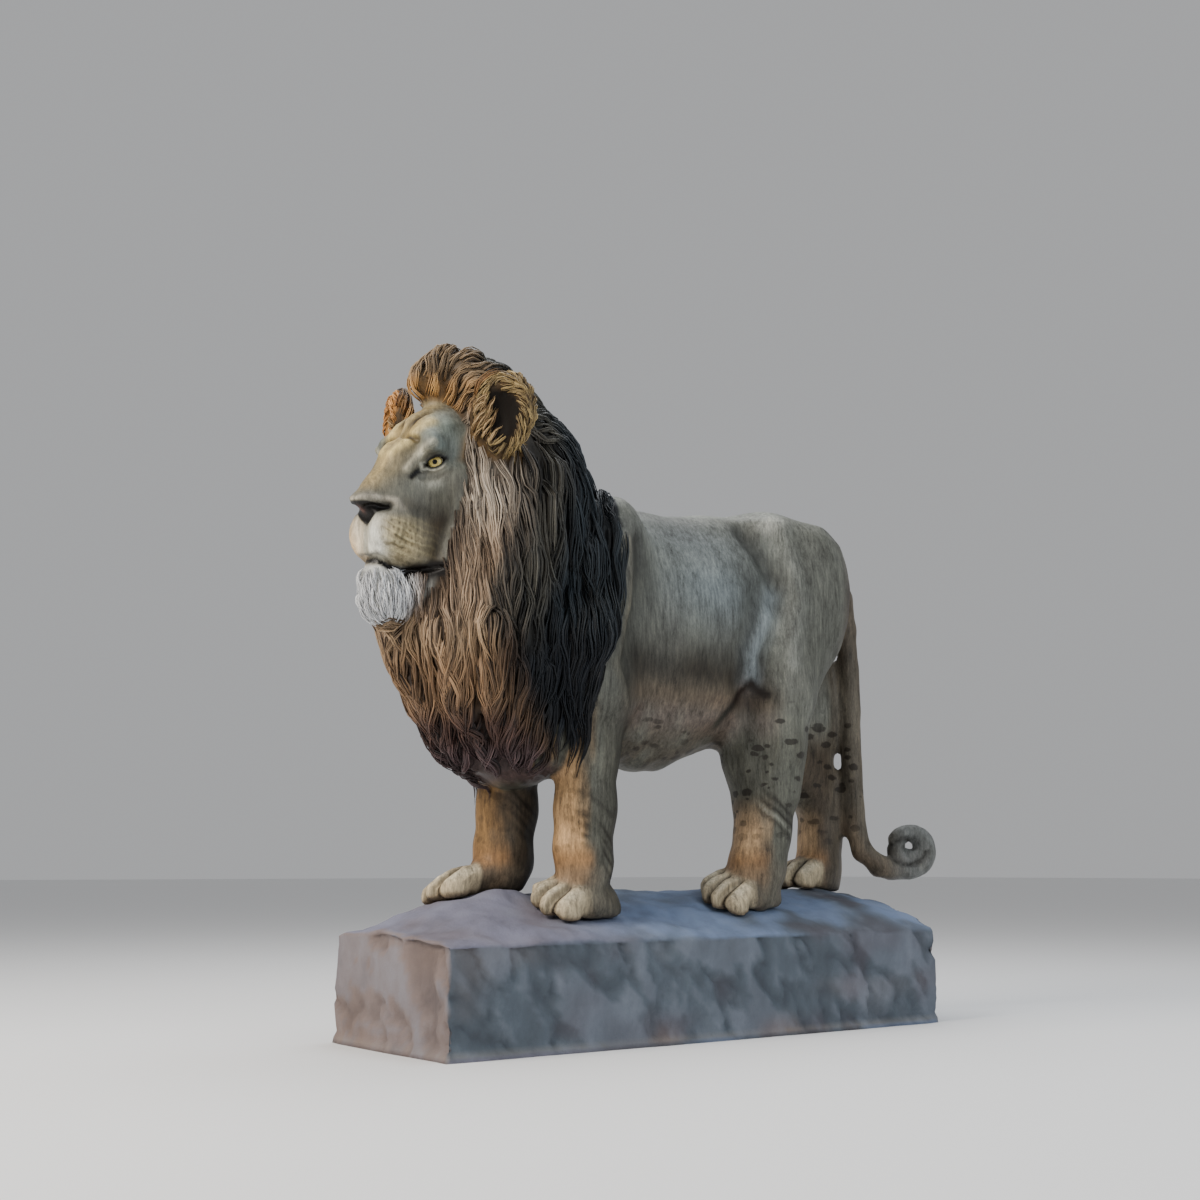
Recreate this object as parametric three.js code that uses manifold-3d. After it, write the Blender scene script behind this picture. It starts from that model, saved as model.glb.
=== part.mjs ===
// A life-size lion standing on a rough-hewn rock base, as a cast and painted garden statue.
// Millimetres, +Z up. The lion faces -Y and its left side is +X.
// The origin is the middle of the rock's underside.
//
// The lion is one solid. Its anatomy is described as blended volumes (ellipsoids and tapered limbs).
// They are turned into one closed skin, which is then thinned to a few thousand triangles.
// The rock is a box whose top swells into a mound and whose faces are hewn. The paws are cut to sit on it.

import * as THREE from 'three';
import { mergeVertices } from 'three/addons/utils/BufferGeometryUtils.js';
import { ImprovedNoise } from 'three/addons/math/ImprovedNoise.js';
import Module from 'manifold-3d';

// Driving dimensions
const LION_HEIGHT = 1500; // paw pads to the top of the forelock
const ROCK_LENGTH = 1730;
const ROCK_WIDTH = 612;
const ROCK_EDGE_HEIGHT = 275; // along the near long edge
const ROCK_MOUND_RISE = 118; // ridge of the mound above the edge
const ROCK_CORNER_RADIUS = 32;
const HEWN_DEPTH = 13; // how far the tool marks on the rock's sides reach in
const SEAT_GAP = 0.3; // between the paws and the rock
const PAW_BITE = 14; // how far a paw would reach into the rock before it is cut to sit on it

// Fineness of the lion's skin
const SKIN_CELL = 14;
const FACE_CELL = 8;
const LION_TRIANGLES = 7450;

// The figure is designed at this height and keeps its proportions at any other
const DESIGN_HEIGHT = 1500;
const FIGURE_SCALE = LION_HEIGHT / DESIGN_HEIGHT;
const FIGURE_LIFT = ROCK_EDGE_HEIGHT + 0.57 * ROCK_MOUND_RISE; // height of the figure's own ground plane
const FIGURE_PLACE = [11, 10]; // where the figure's own middle stands on the rock

const noise = new ImprovedNoise();

/** Goes smoothly from 0 at a to 1 at b, whichever of the two is larger. */
function ramp(a, b, t) {
  const share = THREE.MathUtils.clamp((t - a) / (b - a), 0, 1);
  return share * share * (3 - 2 * share);
}

/** A soft round hill, 1 in its middle. */
function hill(x, y, middle, reach) {
  return Math.exp(-(((x - middle[0]) / reach[0]) ** 2 + ((y - middle[1]) / reach[1]) ** 2));
}

// The rock

/** Height of the rock's top surface above the ground. */
function rockTop(x, y) {
  const halfWidth = ROCK_WIDTH / 2;
  const u = x / halfWidth;
  const v = y / (ROCK_LENGTH / 2);
  const ridge = -0.2;
  const side = Math.min(1, u > ridge ? (u - ridge) / (1 - ridge) : (ridge - u) / (1 + ridge));
  const across = u > ridge ? 1 - side ** 1.35 : 1 - side ** 2.6;
  const along = 1 - 0.85 * ramp(-0.68, -1.04, v) - 0.15 * ramp(0.82, 1, v);
  const humps = 0.3 * hill(u, v, [0.02, -0.58], [0.26, 0.09]) - 0.16 * hill(u, v, [0.42, -0.42], [0.34, 0.2])
    - 0.2 * hill(u, v, [-0.48, -0.66], [0.5, 0.14]) + 0.1 * hill(u, v, [0.5, 0.6], [0.4, 0.2]);
  const lumps = 0.1 * noise.noise(x / 95, y / 120, 3.7) + 0.05 * noise.noise(x / 42, y / 50, 9.1);
  const inside = 1 - side ** 6;
  const rise = across * along + humps * inside + lumps * (0.4 + 0.6 * inside);
  return ROCK_EDGE_HEIGHT + ROCK_MOUND_RISE * rise;
}

/** How far the hewn side of the rock lies behind its nominal plane, at a place along and up the face. */
function hewnDepth(along, up, face) {
  const slant = along + 0.35 * up;
  const broad = noise.noise(slant / 150, up / 330, face * 7.3);
  const narrow = noise.noise(slant / 62, up / 140, face * 3.1);
  return HEWN_DEPTH * (0.45 - 0.55 * (broad + 0.5 * narrow));
}

/** The rock as a box with a mounded top, hewn sides and three rounded upright corners. */
function rockGeometry() {
  const box = new THREE.BoxGeometry(ROCK_WIDTH, ROCK_LENGTH, ROCK_EDGE_HEIGHT, 10, 26, 5);
  box.deleteAttribute('normal');
  box.deleteAttribute('uv');
  const geometry = mergeVertices(box, 1e-3);
  const position = geometry.attributes.position;
  const [halfWidth, halfLength] = [ROCK_WIDTH / 2, ROCK_LENGTH / 2];
  for (let i = 0; i < position.count; i++) {
    let [x, y] = [position.getX(i), position.getY(i)];
    const share = position.getZ(i) / ROCK_EDGE_HEIGHT + 0.5;
    const z = share * rockTop(x, y);
    const atSide = Math.abs(x) > halfWidth - 1;
    const atEnd = Math.abs(y) > halfLength - 1;
    const cutX = atSide ? Math.max(0, hewnDepth(y, z, Math.sign(x))) : 0;
    const cutY = atEnd ? Math.max(0, hewnDepth(x, z, 2 * Math.sign(y))) : 0;
    const crisp = x > 0 && y < 0; // the left front corner keeps its edge
    const overX = Math.abs(x) - halfWidth + ROCK_CORNER_RADIUS;
    const overY = Math.abs(y) - halfLength + ROCK_CORNER_RADIUS;
    const over = Math.hypot(overX, overY);
    if (!crisp && overX > 0 && overY > 0 && over > ROCK_CORNER_RADIUS) {
      x -= Math.sign(x) * overX * (1 - ROCK_CORNER_RADIUS / over);
      y -= Math.sign(y) * overY * (1 - ROCK_CORNER_RADIUS / over);
    }
    position.setXYZ(i, x - Math.sign(x) * cutX, y - Math.sign(y) * cutY, z);
  }
  return geometry;
}

// Blended volumes, in the figure's own frame: x to its left, y to its tail, z up from its ground plane

/** Smooth minimum of two distances, blended over k. */
function blend(a, b, k) {
  const h = Math.max(k - Math.abs(a - b), 0) / k;
  return Math.min(a, b) - h * h * k * 0.25;
}

/** Takes b out of a with a soft edge over k. */
function carve(a, b, k) {
  return -blend(-a, b, k);
}

/** An ellipsoid, turned by angles in degrees about x, y and z. */
class Ellipsoid {
  constructor(centre, radii, turn = [0, 0, 0]) {
    const angles = turn.map(THREE.MathUtils.degToRad);
    const matrix = new THREE.Matrix4().makeRotationFromEuler(new THREE.Euler(...angles, 'XYZ'));
    this.axes = matrix.elements;
    this.centre = centre;
    this.radii = radii;
    this.reach = Math.max(...radii);
  }

  distance(x, y, z) {
    const px = x - this.centre[0];
    const py = y - this.centre[1];
    const pz = z - this.centre[2];
    const e = this.axes;
    const [rx, ry, rz] = this.radii;
    const qx = (e[0] * px + e[1] * py + e[2] * pz) / rx;
    const qy = (e[4] * px + e[5] * py + e[6] * pz) / ry;
    const qz = (e[8] * px + e[9] * py + e[10] * pz) / rz;
    const k0 = Math.sqrt(qx * qx + qy * qy + qz * qz);
    const k1 = Math.sqrt((qx / rx) ** 2 + (qy / ry) ** 2 + (qz / rz) ** 2);
    return k1 < 1e-9 ? -Math.min(rx, ry, rz) : (k0 * (k0 - 1)) / k1;
  }
}

/** A limb that tapers from radius ra at a to rb at b, wider across x by the factor wide. */
class Limb {
  constructor(a, b, ra, rb, wide = 1) {
    this.wide = wide;
    this.a = [a[0] / wide, a[1], a[2]];
    this.ba = [(b[0] - a[0]) / wide, b[1] - a[1], b[2] - a[2]];
    this.ra = ra;
    this.dr = rb - ra;
    this.length2 = this.ba[0] ** 2 + this.ba[1] ** 2 + this.ba[2] ** 2;
    this.centre = [(a[0] + b[0]) / 2, (a[1] + b[1]) / 2, (a[2] + b[2]) / 2];
    const length = Math.hypot(b[0] - a[0], b[1] - a[1], b[2] - a[2]);
    this.reach = length / 2 + Math.max(ra, rb) * Math.max(1, wide);
  }

  distance(x, y, z) {
    const px = x / this.wide - this.a[0];
    const py = y - this.a[1];
    const pz = z - this.a[2];
    const share = (px * this.ba[0] + py * this.ba[1] + pz * this.ba[2]) / this.length2;
    const t = Math.min(1, Math.max(0, share));
    const qx = px - this.ba[0] * t;
    const qy = py - this.ba[1] * t;
    const qz = pz - this.ba[2] * t;
    return Math.sqrt(qx * qx + qy * qy + qz * qz) - this.ra - this.dr * t;
  }
}

/** Limbs end to end through points given as [x, y, z, radius]. */
function chain(points, wide = 1) {
  return points.slice(1).map((b, i) => {
    const a = points[i];
    return new Limb(a, b, a[3], b[3], wide);
  });
}

/** Something with a box round it, so that it can be skipped at places far from it. */
class Boxed {
  constructor() {
    this.box = new THREE.Box3();
  }

  /** True where it can't change a distance of d blended over k. */
  isFar(x, y, z, d, k) {
    const { min, max } = this.box;
    const dx = Math.max(min.x - x, x - max.x, 0);
    const dy = Math.max(min.y - y, y - max.y, 0);
    const dz = Math.max(min.z - z, z - max.z, 0);
    const away2 = dx * dx + dy * dy + dz * dz;
    return away2 > 0 && away2 > Math.max(0, d + k) ** 2;
  }
}

/** Volumes blended together over k. Mirrored ones are given on the left side and repeated on the right. */
class Form extends Boxed {
  constructor(volumes, k, mirrored = false) {
    super();
    this.volumes = volumes;
    this.k = k;
    this.mirrored = mirrored;
    const corner = new THREE.Vector3();
    for (const volume of volumes) {
      for (const side of mirrored ? [-1, 1] : [1]) {
        const [x, y, z] = volume.centre;
        const r = volume.reach;
        this.box.expandByPoint(corner.set(side * x - r, y - r, z - r));
        this.box.expandByPoint(corner.set(side * x + r, y + r, z + r));
      }
    }
    this.centre = this.box.getCenter(new THREE.Vector3()).toArray();
    this.reach = this.box.getSize(new THREE.Vector3()).length() / 2;
  }

  distance(x, y, z) {
    const px = this.mirrored ? Math.abs(x) : x;
    let nearest = 1e9;
    for (const volume of this.volumes) {
      const c = volume.centre;
      const beyond = Math.max(0, nearest + this.k + volume.reach);
      if ((px - c[0]) ** 2 + (y - c[1]) ** 2 + (z - c[2]) ** 2 > beyond * beyond) continue;
      const d = volume.distance(px, y, z);
      nearest = nearest > 1e8 ? d : blend(nearest, d, this.k);
    }
    return nearest;
  }
}

// The lion's anatomy

const TORSO = new Form([
  new Ellipsoid([0, -330, 735], [196, 270, 375]), // chest
  new Ellipsoid([0, -70, 752], [194, 310, 372]), // rib cage
  new Ellipsoid([0, 150, 794], [174, 270, 342], [-9, 0, 0]), // flank
  new Ellipsoid([0, 400, 930], [156, 260, 246]), // loin and pelvis
  new Ellipsoid([0, 580, 925], [112, 138, 212], [12, 0, 0]), // rump
], 70);

const BACK = new Form([
  ...chain([
    [0, -330, 1085, 60], [0, -100, 1052, 58], [0, 180, 1074, 62], [0, 430, 1122, 62], [0, 556, 1084, 60],
  ]),
  new Ellipsoid([80, 400, 1122], [44, 78, 50], [0, 0, -12]), // hip bone
  new Ellipsoid([122, -250, 985], [70, 105, 150]), // shoulder blade
], 45, true);

/** Height of the rock under a paw, in the figure's frame. */
function seat(x, y) {
  const top = rockTop(x * FIGURE_SCALE + FIGURE_PLACE[0], y * FIGURE_SCALE + FIGURE_PLACE[1]);
  return (top - FIGURE_LIFT) / FIGURE_SCALE;
}

/** A form that follows the rise and fall of the rock under it. Its own height 0 is the rock's surface. */
class GroundedForm extends Form {
  constructor(volumes, k) {
    super(volumes, k);
    const [x, y] = this.centre;
    const sway = 40; // most that the rock rises or falls under one paw
    this.box.min.z += seat(x, y) - sway;
    this.box.max.z += seat(x, y) + sway;
  }

  distance(x, y, z) {
    return super.distance(x, y, z - seat(x, y));
  }
}

/** A paw with four toes, its middle at [x, y], turned by an angle in degrees. Length is heel to toes. */
function paw(x, y, length, turn) {
  const angle = THREE.MathUtils.degToRad(turn);
  const place = (across, along, up) => [
    x + across * Math.cos(angle) - along * Math.sin(angle),
    y + across * Math.sin(angle) + along * Math.cos(angle),
    up,
  ];
  const volumes = [
    new Ellipsoid(place(0, 0.08 * length, 40), [68, 0.36 * length, 52], [0, 0, turn]),
    new Ellipsoid(place(0, 0.3 * length, 18), [50, 0.18 * length, 34], [0, 0, turn]), // heel pad
  ];
  const toes = [[-55, -0.18], [-19, -0.29], [19, -0.29], [55, -0.18]];
  for (const [across, along] of toes) {
    const knuckle = place(across * 0.85, (along + 0.07) * length, 52);
    const tip = place(across * 1.05, (along - 0.1) * length, 24);
    const pad = place(across * 1.03, (along - 0.04) * length, 4);
    volumes.push(new Limb(knuckle, tip, 27, 25), new Ellipsoid(pad, [25, 36, 20], [0, 0, turn]));
  }
  return new GroundedForm(volumes, 10);
}

const LEG_WIDTH = 0.92; // of a leg from side to side, as a share of its depth

const FRONT_LEFT = new Form([
  ...chain([[122, -290, 900, 84], [140, -385, 710, 110], [128, -330, 590, 106], [116, -338, 430, 88],
    [112, -342, 260, 82], [112, -340, 130, 76], [112, -352, 62, 66]], LEG_WIDTH),
  new Ellipsoid([140, -262, 600], [52, 58, 92]), // elbow
  new Ellipsoid([116, -362, 168], [66, 70, 58]), // wrist
], 34);

const FRONT_RIGHT = new Form([
  ...chain([[-122, -300, 900, 84], [-140, -410, 710, 110], [-128, -410, 590, 106], [-118, -432, 430, 88],
    [-116, -438, 260, 80], [-116, -446, 130, 76], [-122, -474, 62, 66]], LEG_WIDTH),
  new Ellipsoid([-140, -330, 600], [52, 58, 92]),
  new Ellipsoid([-118, -460, 168], [66, 70, 58]),
], 34);

const HIND_LEFT = new Form([
  new Ellipsoid([112, 490, 900], [82, 170, 262], [-16, 0, 0]), // thigh
  new Ellipsoid([122, 400, 700], [78, 128, 190], [-16, 0, 0]),
  ...chain([[118, 366, 600, 110], [112, 344, 470, 95], [110, 334, 335, 84], [110, 302, 217, 79],
    [110, 276, 104, 79], [110, 262, 58, 66]], LEG_WIDTH),
  ...chain([[66, 288, 570, 76], [72, 282, 420, 68], [84, 292, 300, 61]]), // inside of the thigh and knee
  new Ellipsoid([112, 400, 400], [36, 40, 62], [-14, 0, 0]), // hock
], 40);

const HIND_RIGHT = new Form([
  new Ellipsoid([-112, 520, 880], [82, 180, 270], [-2, 0, 0]),
  new Ellipsoid([-84, 680, 620], [74, 124, 252], [4, 0, 0]), // hamstring
  ...chain([[-116, 440, 620, 116], [-112, 474, 530, 110], [-110, 606, 450, 94], [-108, 716, 370, 78],
    [-108, 754, 295, 72], [-108, 746, 200, 68], [-108, 738, 110, 70], [-110, 724, 70, 66]], LEG_WIDTH),
  new Ellipsoid([-108, 780, 330], [36, 42, 60], [10, 0, 0]),
], 40);

const PAWS = [
  paw(112, -366, 285, 0),
  paw(-130, -540, 300, -10),
  paw(110, 220, 285, 0),
  paw(-112, 690, 280, 4),
];

const TAIL_ROOT_BACK = 790; // how far behind the figure's middle the tail hangs
const TAIL_SWING = THREE.MathUtils.degToRad(30); // the curl lies in a plane turned this far to the left
const CURL_CENTRE = [174, 169]; // along that plane from the hanging tail, and up
const CURL_TURNS = 1.2;

/** A point of the tail's end, from its place in the plane of the curl. */
function tailPoint(along, up, radius) {
  return [along * Math.sin(TAIL_SWING), TAIL_ROOT_BACK + along * Math.cos(TAIL_SWING), up, radius];
}

/** Points on the curled end of the tail. */
function tailCurl(steps) {
  const points = [];
  for (let i = 0; i <= steps; i++) {
    const t = i / steps;
    const angle = THREE.MathUtils.degToRad(-105) + 2 * Math.PI * CURL_TURNS * t;
    const radius = THREE.MathUtils.lerp(64, 18, t ** 1.6);
    const along = CURL_CENTRE[0] + radius * Math.cos(angle);
    const up = CURL_CENTRE[1] + radius * Math.sin(angle);
    points.push(tailPoint(along, up, THREE.MathUtils.lerp(31, 15, t ** 1.3)));
  }
  return points;
}

const TAIL = new Form(chain([
  [0, 640, 1080, 54], [0, 706, 1036, 48], [0, 752, 960, 40], [0, 776, 860, 35], [0, 786, 740, 33],
  tailPoint(0, 600, 32), tailPoint(0, 440, 32), tailPoint(1, 330, 32), tailPoint(8, 230, 33),
  tailPoint(30, 158, 33), tailPoint(76, 114, 32), tailPoint(120, 103, 31), ...tailCurl(20),
]), 12);

const MANE_BODY = new Form([
  new Ellipsoid([0, -590, 1010], [198, 208, 350], [-12, 0, 0]), // neck
  new Ellipsoid([0, -524, 1104], [164, 172, 246], [24, 0, 0]), // nape
  new Ellipsoid([0, -375, 940], [200, 172, 210], [18, 0, 0]), // over the shoulders
  new Ellipsoid([0, -606, 700], [186, 196, 292], [14, 0, 0]), // chest
  new Ellipsoid([0, -515, 490], [152, 150, 180], [30, 0, 0]), // breast point
  new Ellipsoid([14, -746, 736], [92, 90, 110]), // beard under the chin
  new Ellipsoid([6, -640, 1294], [152, 108, 140]), // crown
], 60);

/** Locks that frame the face on the head's left side, from under the ear to the jaw. */
function ruffLocks() {
  const edge = new THREE.CatmullRomCurve3([
    new THREE.Vector3(172, -680, 1210),
    new THREE.Vector3(166, -728, 1095),
    new THREE.Vector3(148, -776, 985),
    new THREE.Vector3(114, -806, 885),
    new THREE.Vector3(60, -826, 800),
  ]);
  const volumes = [];
  const count = 12;
  for (let i = 0; i < count; i++) {
    const root = edge.getPoint(i / (count - 1));
    const sway = 10 * Math.sin(2.4 * i);
    const thickness = 36 - 5 * (i % 2);
    const drops = [[0, 0, 0, 1], [8, 24 + sway, -60, 0.95], [10, 42, -125, 0.7], [2, 56 - sway, -190, 0.3]];
    const points = drops.map(([x, y, z, share]) => [root.x + x, root.y + y, root.z + z, thickness * share]);
    volumes.push(...chain(points));
  }
  return new Form(volumes, 9, true);
}

const RUFF = ruffLocks();

// The head, described looking straight ahead, then turned to its left and tilted a little to the same side
const HEAD_TURN = THREE.MathUtils.degToRad(11);
const HEAD_TILT = THREE.MathUtils.degToRad(4.5);
const HEAD_PIVOT = new THREE.Vector3(0, -800, 1000);

const SKULL = new Form([
  new Ellipsoid([0, -700, 1180], [140, 150, 165]), // cranium
  new Ellipsoid([0, -795, 1238], [94, 66, 76], [-38, 0, 0]), // forehead
  ...chain([[0, -812, 1215, 74], [0, -872, 1142, 60], [0, -950, 1064, 47]], 1.12), // bridge of the nose
  new Ellipsoid([0, -880, 985], [90, 90, 92]), // upper jaw
  new Ellipsoid([50, -870, 1040], [50, 88, 76], [0, 0, -14]), // side of the muzzle
  new Ellipsoid([100, -765, 1040], [58, 92, 118], [0, 0, -14]), // cheek
  new Ellipsoid([98, -780, 1116], [40, 58, 38], [0, 0, -22]), // cheekbone
  new Limb([0, -870, 818], [84, -715, 900], 60, 82), // lower jaw
], 34, true);

const MUZZLE = new Form([
  new Ellipsoid([42, -928, 956], [54, 62, 70], [12, 0, -10]), // whisker pad
  new Ellipsoid([68, -868, 928], [44, 74, 56], [8, 0, -18]),
  new Ellipsoid([16, -936, 914], [38, 42, 36]), // upper lip
  new Ellipsoid([0, -985, 1032], [46, 42, 28], [-18, 0, 0]), // nose leather
  new Ellipsoid([76, -846, 1202], [46, 42, 30], [-34, 12, -20]), // brow
], 18, true);

const CHIN = new Form([
  new Ellipsoid([0, -898, 808], [60, 62, 64], [-10, 0, 0]),
  new Ellipsoid([26, -896, 790], [38, 52, 52]),
  new Ellipsoid([0, -922, 850], [50, 52, 32]), // lower lip
  new Limb([0, -880, 792], [70, -800, 830], 52, 62),
], 22, true);

const MOUTH = new Form(
  chain([[0, -1000, 884, 4], [34, -980, 874, 5], [68, -905, 864, 8], [86, -830, 868, 10]]), 4, true,
);
const PHILTRUM = new Form([new Limb([0, -1012, 1000], [0, -1000, 888], 4, 6)], 4);
const NOSTRIL = new Form([new Limb([16, -1022, 1016], [36, -994, 1020], 8, 6)], 4, true);
const EYE_SOCKET = new Form([new Ellipsoid([92, -838, 1156], [30, 28, 22], [-20, 0, -38])], 4, true);
const EYE = new Form([
  new Ellipsoid([78, -818, 1159], [24, 24, 21]),
  new Limb([60, -856, 1160], [97, -808, 1176], 6, 8), // upper lid
  new Limb([62, -850, 1146], [94, -808, 1142], 6, 7), // lower lid
], 6, true);

const EAR = new Form([
  new Ellipsoid([209, -726, 1298], [86, 38, 106], [-6, 14, 32]),
  new Ellipsoid([168, -706, 1226], [56, 48, 78], [0, 10, 20]), // ear root
], 20, true);
const EAR_CUP = new Form([new Ellipsoid([227, -761, 1294], [57, 34, 78], [-6, 14, 32])], 4, true);

/** Seeded numbers between 0 and 1, so that the locks come out the same each time. */
function* seeded(seed) {
  let state = seed;
  for (;;) {
    state = (state * 1664525 + 1013904223) % 4294967296;
    yield state / 4294967296;
  }
}

/** Nearest point outside the mane's body along a ray from inside it. */
function onMane(origin, direction) {
  const p = new THREE.Vector3(...origin);
  for (let i = 0; i < 24; i++) {
    const d = MANE_BODY.distance(p.x, p.y, p.z);
    p.addScaledVector(direction, -d * 0.8);
  }
  return p;
}

/** One lock of the mane: it leaves its root, hugs the mane and lifts off a little at its tip. */
function lock(root, fall, length, thickness) {
  const points = [];
  const p = root.clone();
  const steps = 3;
  for (let i = 0; i <= steps; i++) {
    const t = i / steps;
    const radius = thickness * (1 - 0.72 * t ** 1.6);
    points.push([p.x, p.y, p.z, radius]);
    p.addScaledVector(fall, length / steps);
    const d = MANE_BODY.distance(p.x, p.y, p.z);
    const away = outward(p);
    p.addScaledVector(away, -d + thickness * (0.15 + 0.35 * t));
  }
  return chain(points);
}

/** The direction away from the mane's surface at a point. */
function outward(p) {
  const e = 4;
  const d = MANE_BODY;
  return new THREE.Vector3(
    d.distance(p.x + e, p.y, p.z) - d.distance(p.x - e, p.y, p.z),
    d.distance(p.x, p.y + e, p.z) - d.distance(p.x, p.y - e, p.z),
    d.distance(p.x, p.y, p.z + e) - d.distance(p.x, p.y, p.z - e),
  ).normalize();
}

/** The way the hair falls at a place on the mane: back over the crown, then down and a little forward. */
function fallAt(p) {
  const back = ramp(1150, 1420, p.z) * ramp(-760, -560, p.y);
  const fall = new THREE.Vector3(p.x * 0.0012, 0.25 + 0.9 * back, -1 + 0.35 * back);
  const away = outward(p);
  fall.addScaledVector(away, -fall.dot(away));
  return fall.normalize();
}

/** The mane's locks, in rows round the neck from the crown down to the breast. */
function maneLocks() {
  const random = seeded(7);
  const next = () => random.next().value;
  const volumes = [];
  const rows = 9;
  for (let row = 0; row < rows; row++) {
    const height = 1400 - row * 112;
    const middle = -555 - 80 * ramp(1250, 1400, height) + 40 * ramp(620, 480, height);
    const across = 13 + (row % 2);
    for (let i = 0; i < across; i++) {
      const round = (i + 0.5 * (row % 2)) / (across - 1);
      const angle = THREE.MathUtils.degToRad(-155 + 310 * round + 8 * (next() - 0.5));
      const direction = new THREE.Vector3(Math.sin(angle), -Math.cos(angle), 0);
      const root = onMane([0, middle, height + 26 * (next() - 0.5)], direction);
      const length = 170 + 50 * next();
      const thickness = 27 + 8 * next();
      const astray = Math.abs(MANE_BODY.distance(root.x, root.y, root.z)) > 5;
      if (astray || nearFace(root)) continue;
      volumes.push(...lock(root, fallAt(root), length, thickness));
    }
  }
  return new Form(volumes, 7);
}

/** True where a lock would hide the face. */
function nearFace(p) {
  return p.y < -700 && p.z > 770 && Math.abs(p.x - 0.2 * (-600 - p.y)) < 150;
}

const LOCKS = maneLocks();

const FORELOCK = new Form([
  ...chain([[10, -750, 1345, 44], [0, -800, 1385, 30], [-4, -790, 1425, 20]]),
  ...chain([[0, -720, 1370, 52], [0, -745, 1430, 40], [4, -728, 1478, 26]]),
  ...chain([[-46, -705, 1360, 46], [-52, -735, 1415, 34], [-50, -715, 1455, 20]]),
  ...chain([[50, -690, 1370, 46], [50, -700, 1425, 36], [44, -672, 1466, 22]]),
  ...chain([[6, -640, 1400, 66], [4, -600, 1436, 44], [0, -545, 1446, 28]]),
], 10);

/** The head, turned and tilted as a whole about its pivot. */
class Head extends Boxed {
  constructor(pivot, turn, tilt) {
    super();
    this.pivot = pivot;
    this.turn = new THREE.Matrix4().makeRotationY(-tilt).multiply(new THREE.Matrix4().makeRotationZ(-turn));
    this.point = new THREE.Vector3();
    for (const form of [SKULL, MUZZLE, CHIN, EYE, RUFF, EAR]) this.box.union(form.box);
    this.box.translate(pivot.clone().negate()).applyMatrix4(this.turn.clone().invert()).translate(pivot);
  }

  distance(x, y, z) {
    const own = this.point.set(x, y, z).sub(this.pivot).applyMatrix4(this.turn).add(this.pivot);
    let d = SKULL.distance(own.x, own.y, own.z);
    d = blend(d, MUZZLE.distance(own.x, own.y, own.z), 24);
    d = blend(d, CHIN.distance(own.x, own.y, own.z), 18);
    d = carve(d, MOUTH.distance(own.x, own.y, own.z), 8);
    d = carve(d, PHILTRUM.distance(own.x, own.y, own.z), 8);
    d = carve(d, NOSTRIL.distance(own.x, own.y, own.z), 6);
    d = carve(d, EYE_SOCKET.distance(own.x, own.y, own.z), 12);
    d = blend(d, EYE.distance(own.x, own.y, own.z), 5);
    d = blend(d, RUFF.distance(own.x, own.y, own.z), 8);
    d = blend(d, EAR.distance(own.x, own.y, own.z), 22);
    return carve(d, EAR_CUP.distance(own.x, own.y, own.z), 12);
  }
}

const HEAD = new Head(HEAD_PIVOT, HEAD_TURN, HEAD_TILT);

/** What joins the torso, with the width over which each blends into what comes before it. */
const PARTS = [
  [BACK, 60], [FRONT_LEFT, 46], [FRONT_RIGHT, 46], [HIND_LEFT, 52], [HIND_RIGHT, 52],
  ...PAWS.map((form) => [form, 20]), [TAIL, 26], [MANE_BODY, 30], [LOCKS, 6], [HEAD, 10], [FORELOCK, 12],
];

/** Distance to the whole lion, negative inside it. */
function lionDistance(x, y, z) {
  let d = TORSO.distance(x, y, z);
  for (const [form, k] of PARTS) {
    if (!form.isFar(x, y, z, d, k)) d = blend(d, form.distance(x, y, z), k);
  }
  return d;
}

/** The box round the whole lion. */
function lionBox() {
  const box = TORSO.box.clone();
  for (const [form] of PARTS) box.union(form.box);
  return box;
}

// Turning a distance function into a skin

/** A cube's six tetrahedra, all round the diagonal from corner 0 to 7. A corner's bits are its x, y and z. */
const TETRAHEDRA = [[0, 1, 3, 7], [0, 3, 2, 7], [0, 2, 6, 7], [0, 6, 4, 7], [0, 4, 5, 7], [0, 5, 1, 7]];

/** Grid lines along one axis from start to end, SKIN_CELL apart but FACE_CELL apart between from and to. */
function gridLines(start, end, from, to) {
  const lines = [start];
  while (lines.at(-1) < end) {
    const at = lines.at(-1);
    lines.push(at + (from <= at && at < to ? FACE_CELL : SKIN_CELL));
  }
  return lines;
}

/** Samples a distance function where the grid lines cross, skipping blocks that are far from the surface. */
function sample(distance, [xs, ys, zs]) {
  const block = 4;
  const [nx, ny, nz] = [xs.length, ys.length, zs.length];
  const values = new Float32Array(nx * ny * nz);
  for (let k = 0; k < nz; k += block) {
    for (let j = 0; j < ny; j += block) {
      for (let i = 0; i < nx; i += block) {
        const [ei, ej, ek] = [Math.min(i + block, nx), Math.min(j + block, ny), Math.min(k + block, nz)];
        const [wx, wy, wz] = [xs[ei - 1] - xs[i], ys[ej - 1] - ys[j], zs[ek - 1] - zs[k]];
        const middle = distance(xs[i] + wx / 2, ys[j] + wy / 2, zs[k] + wz / 2);
        const far = Math.abs(middle) > 1.4 * Math.sqrt(wx * wx + wy * wy + wz * wz);
        for (let c = k; c < ek; c++) {
          for (let b = j; b < ej; b++) {
            for (let a = i; a < ei; a++) {
              values[(c * ny + b) * nx + a] = far ? middle : distance(xs[a], ys[b], zs[c]);
            }
          }
        }
      }
    }
  }
  return values;
}

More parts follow.
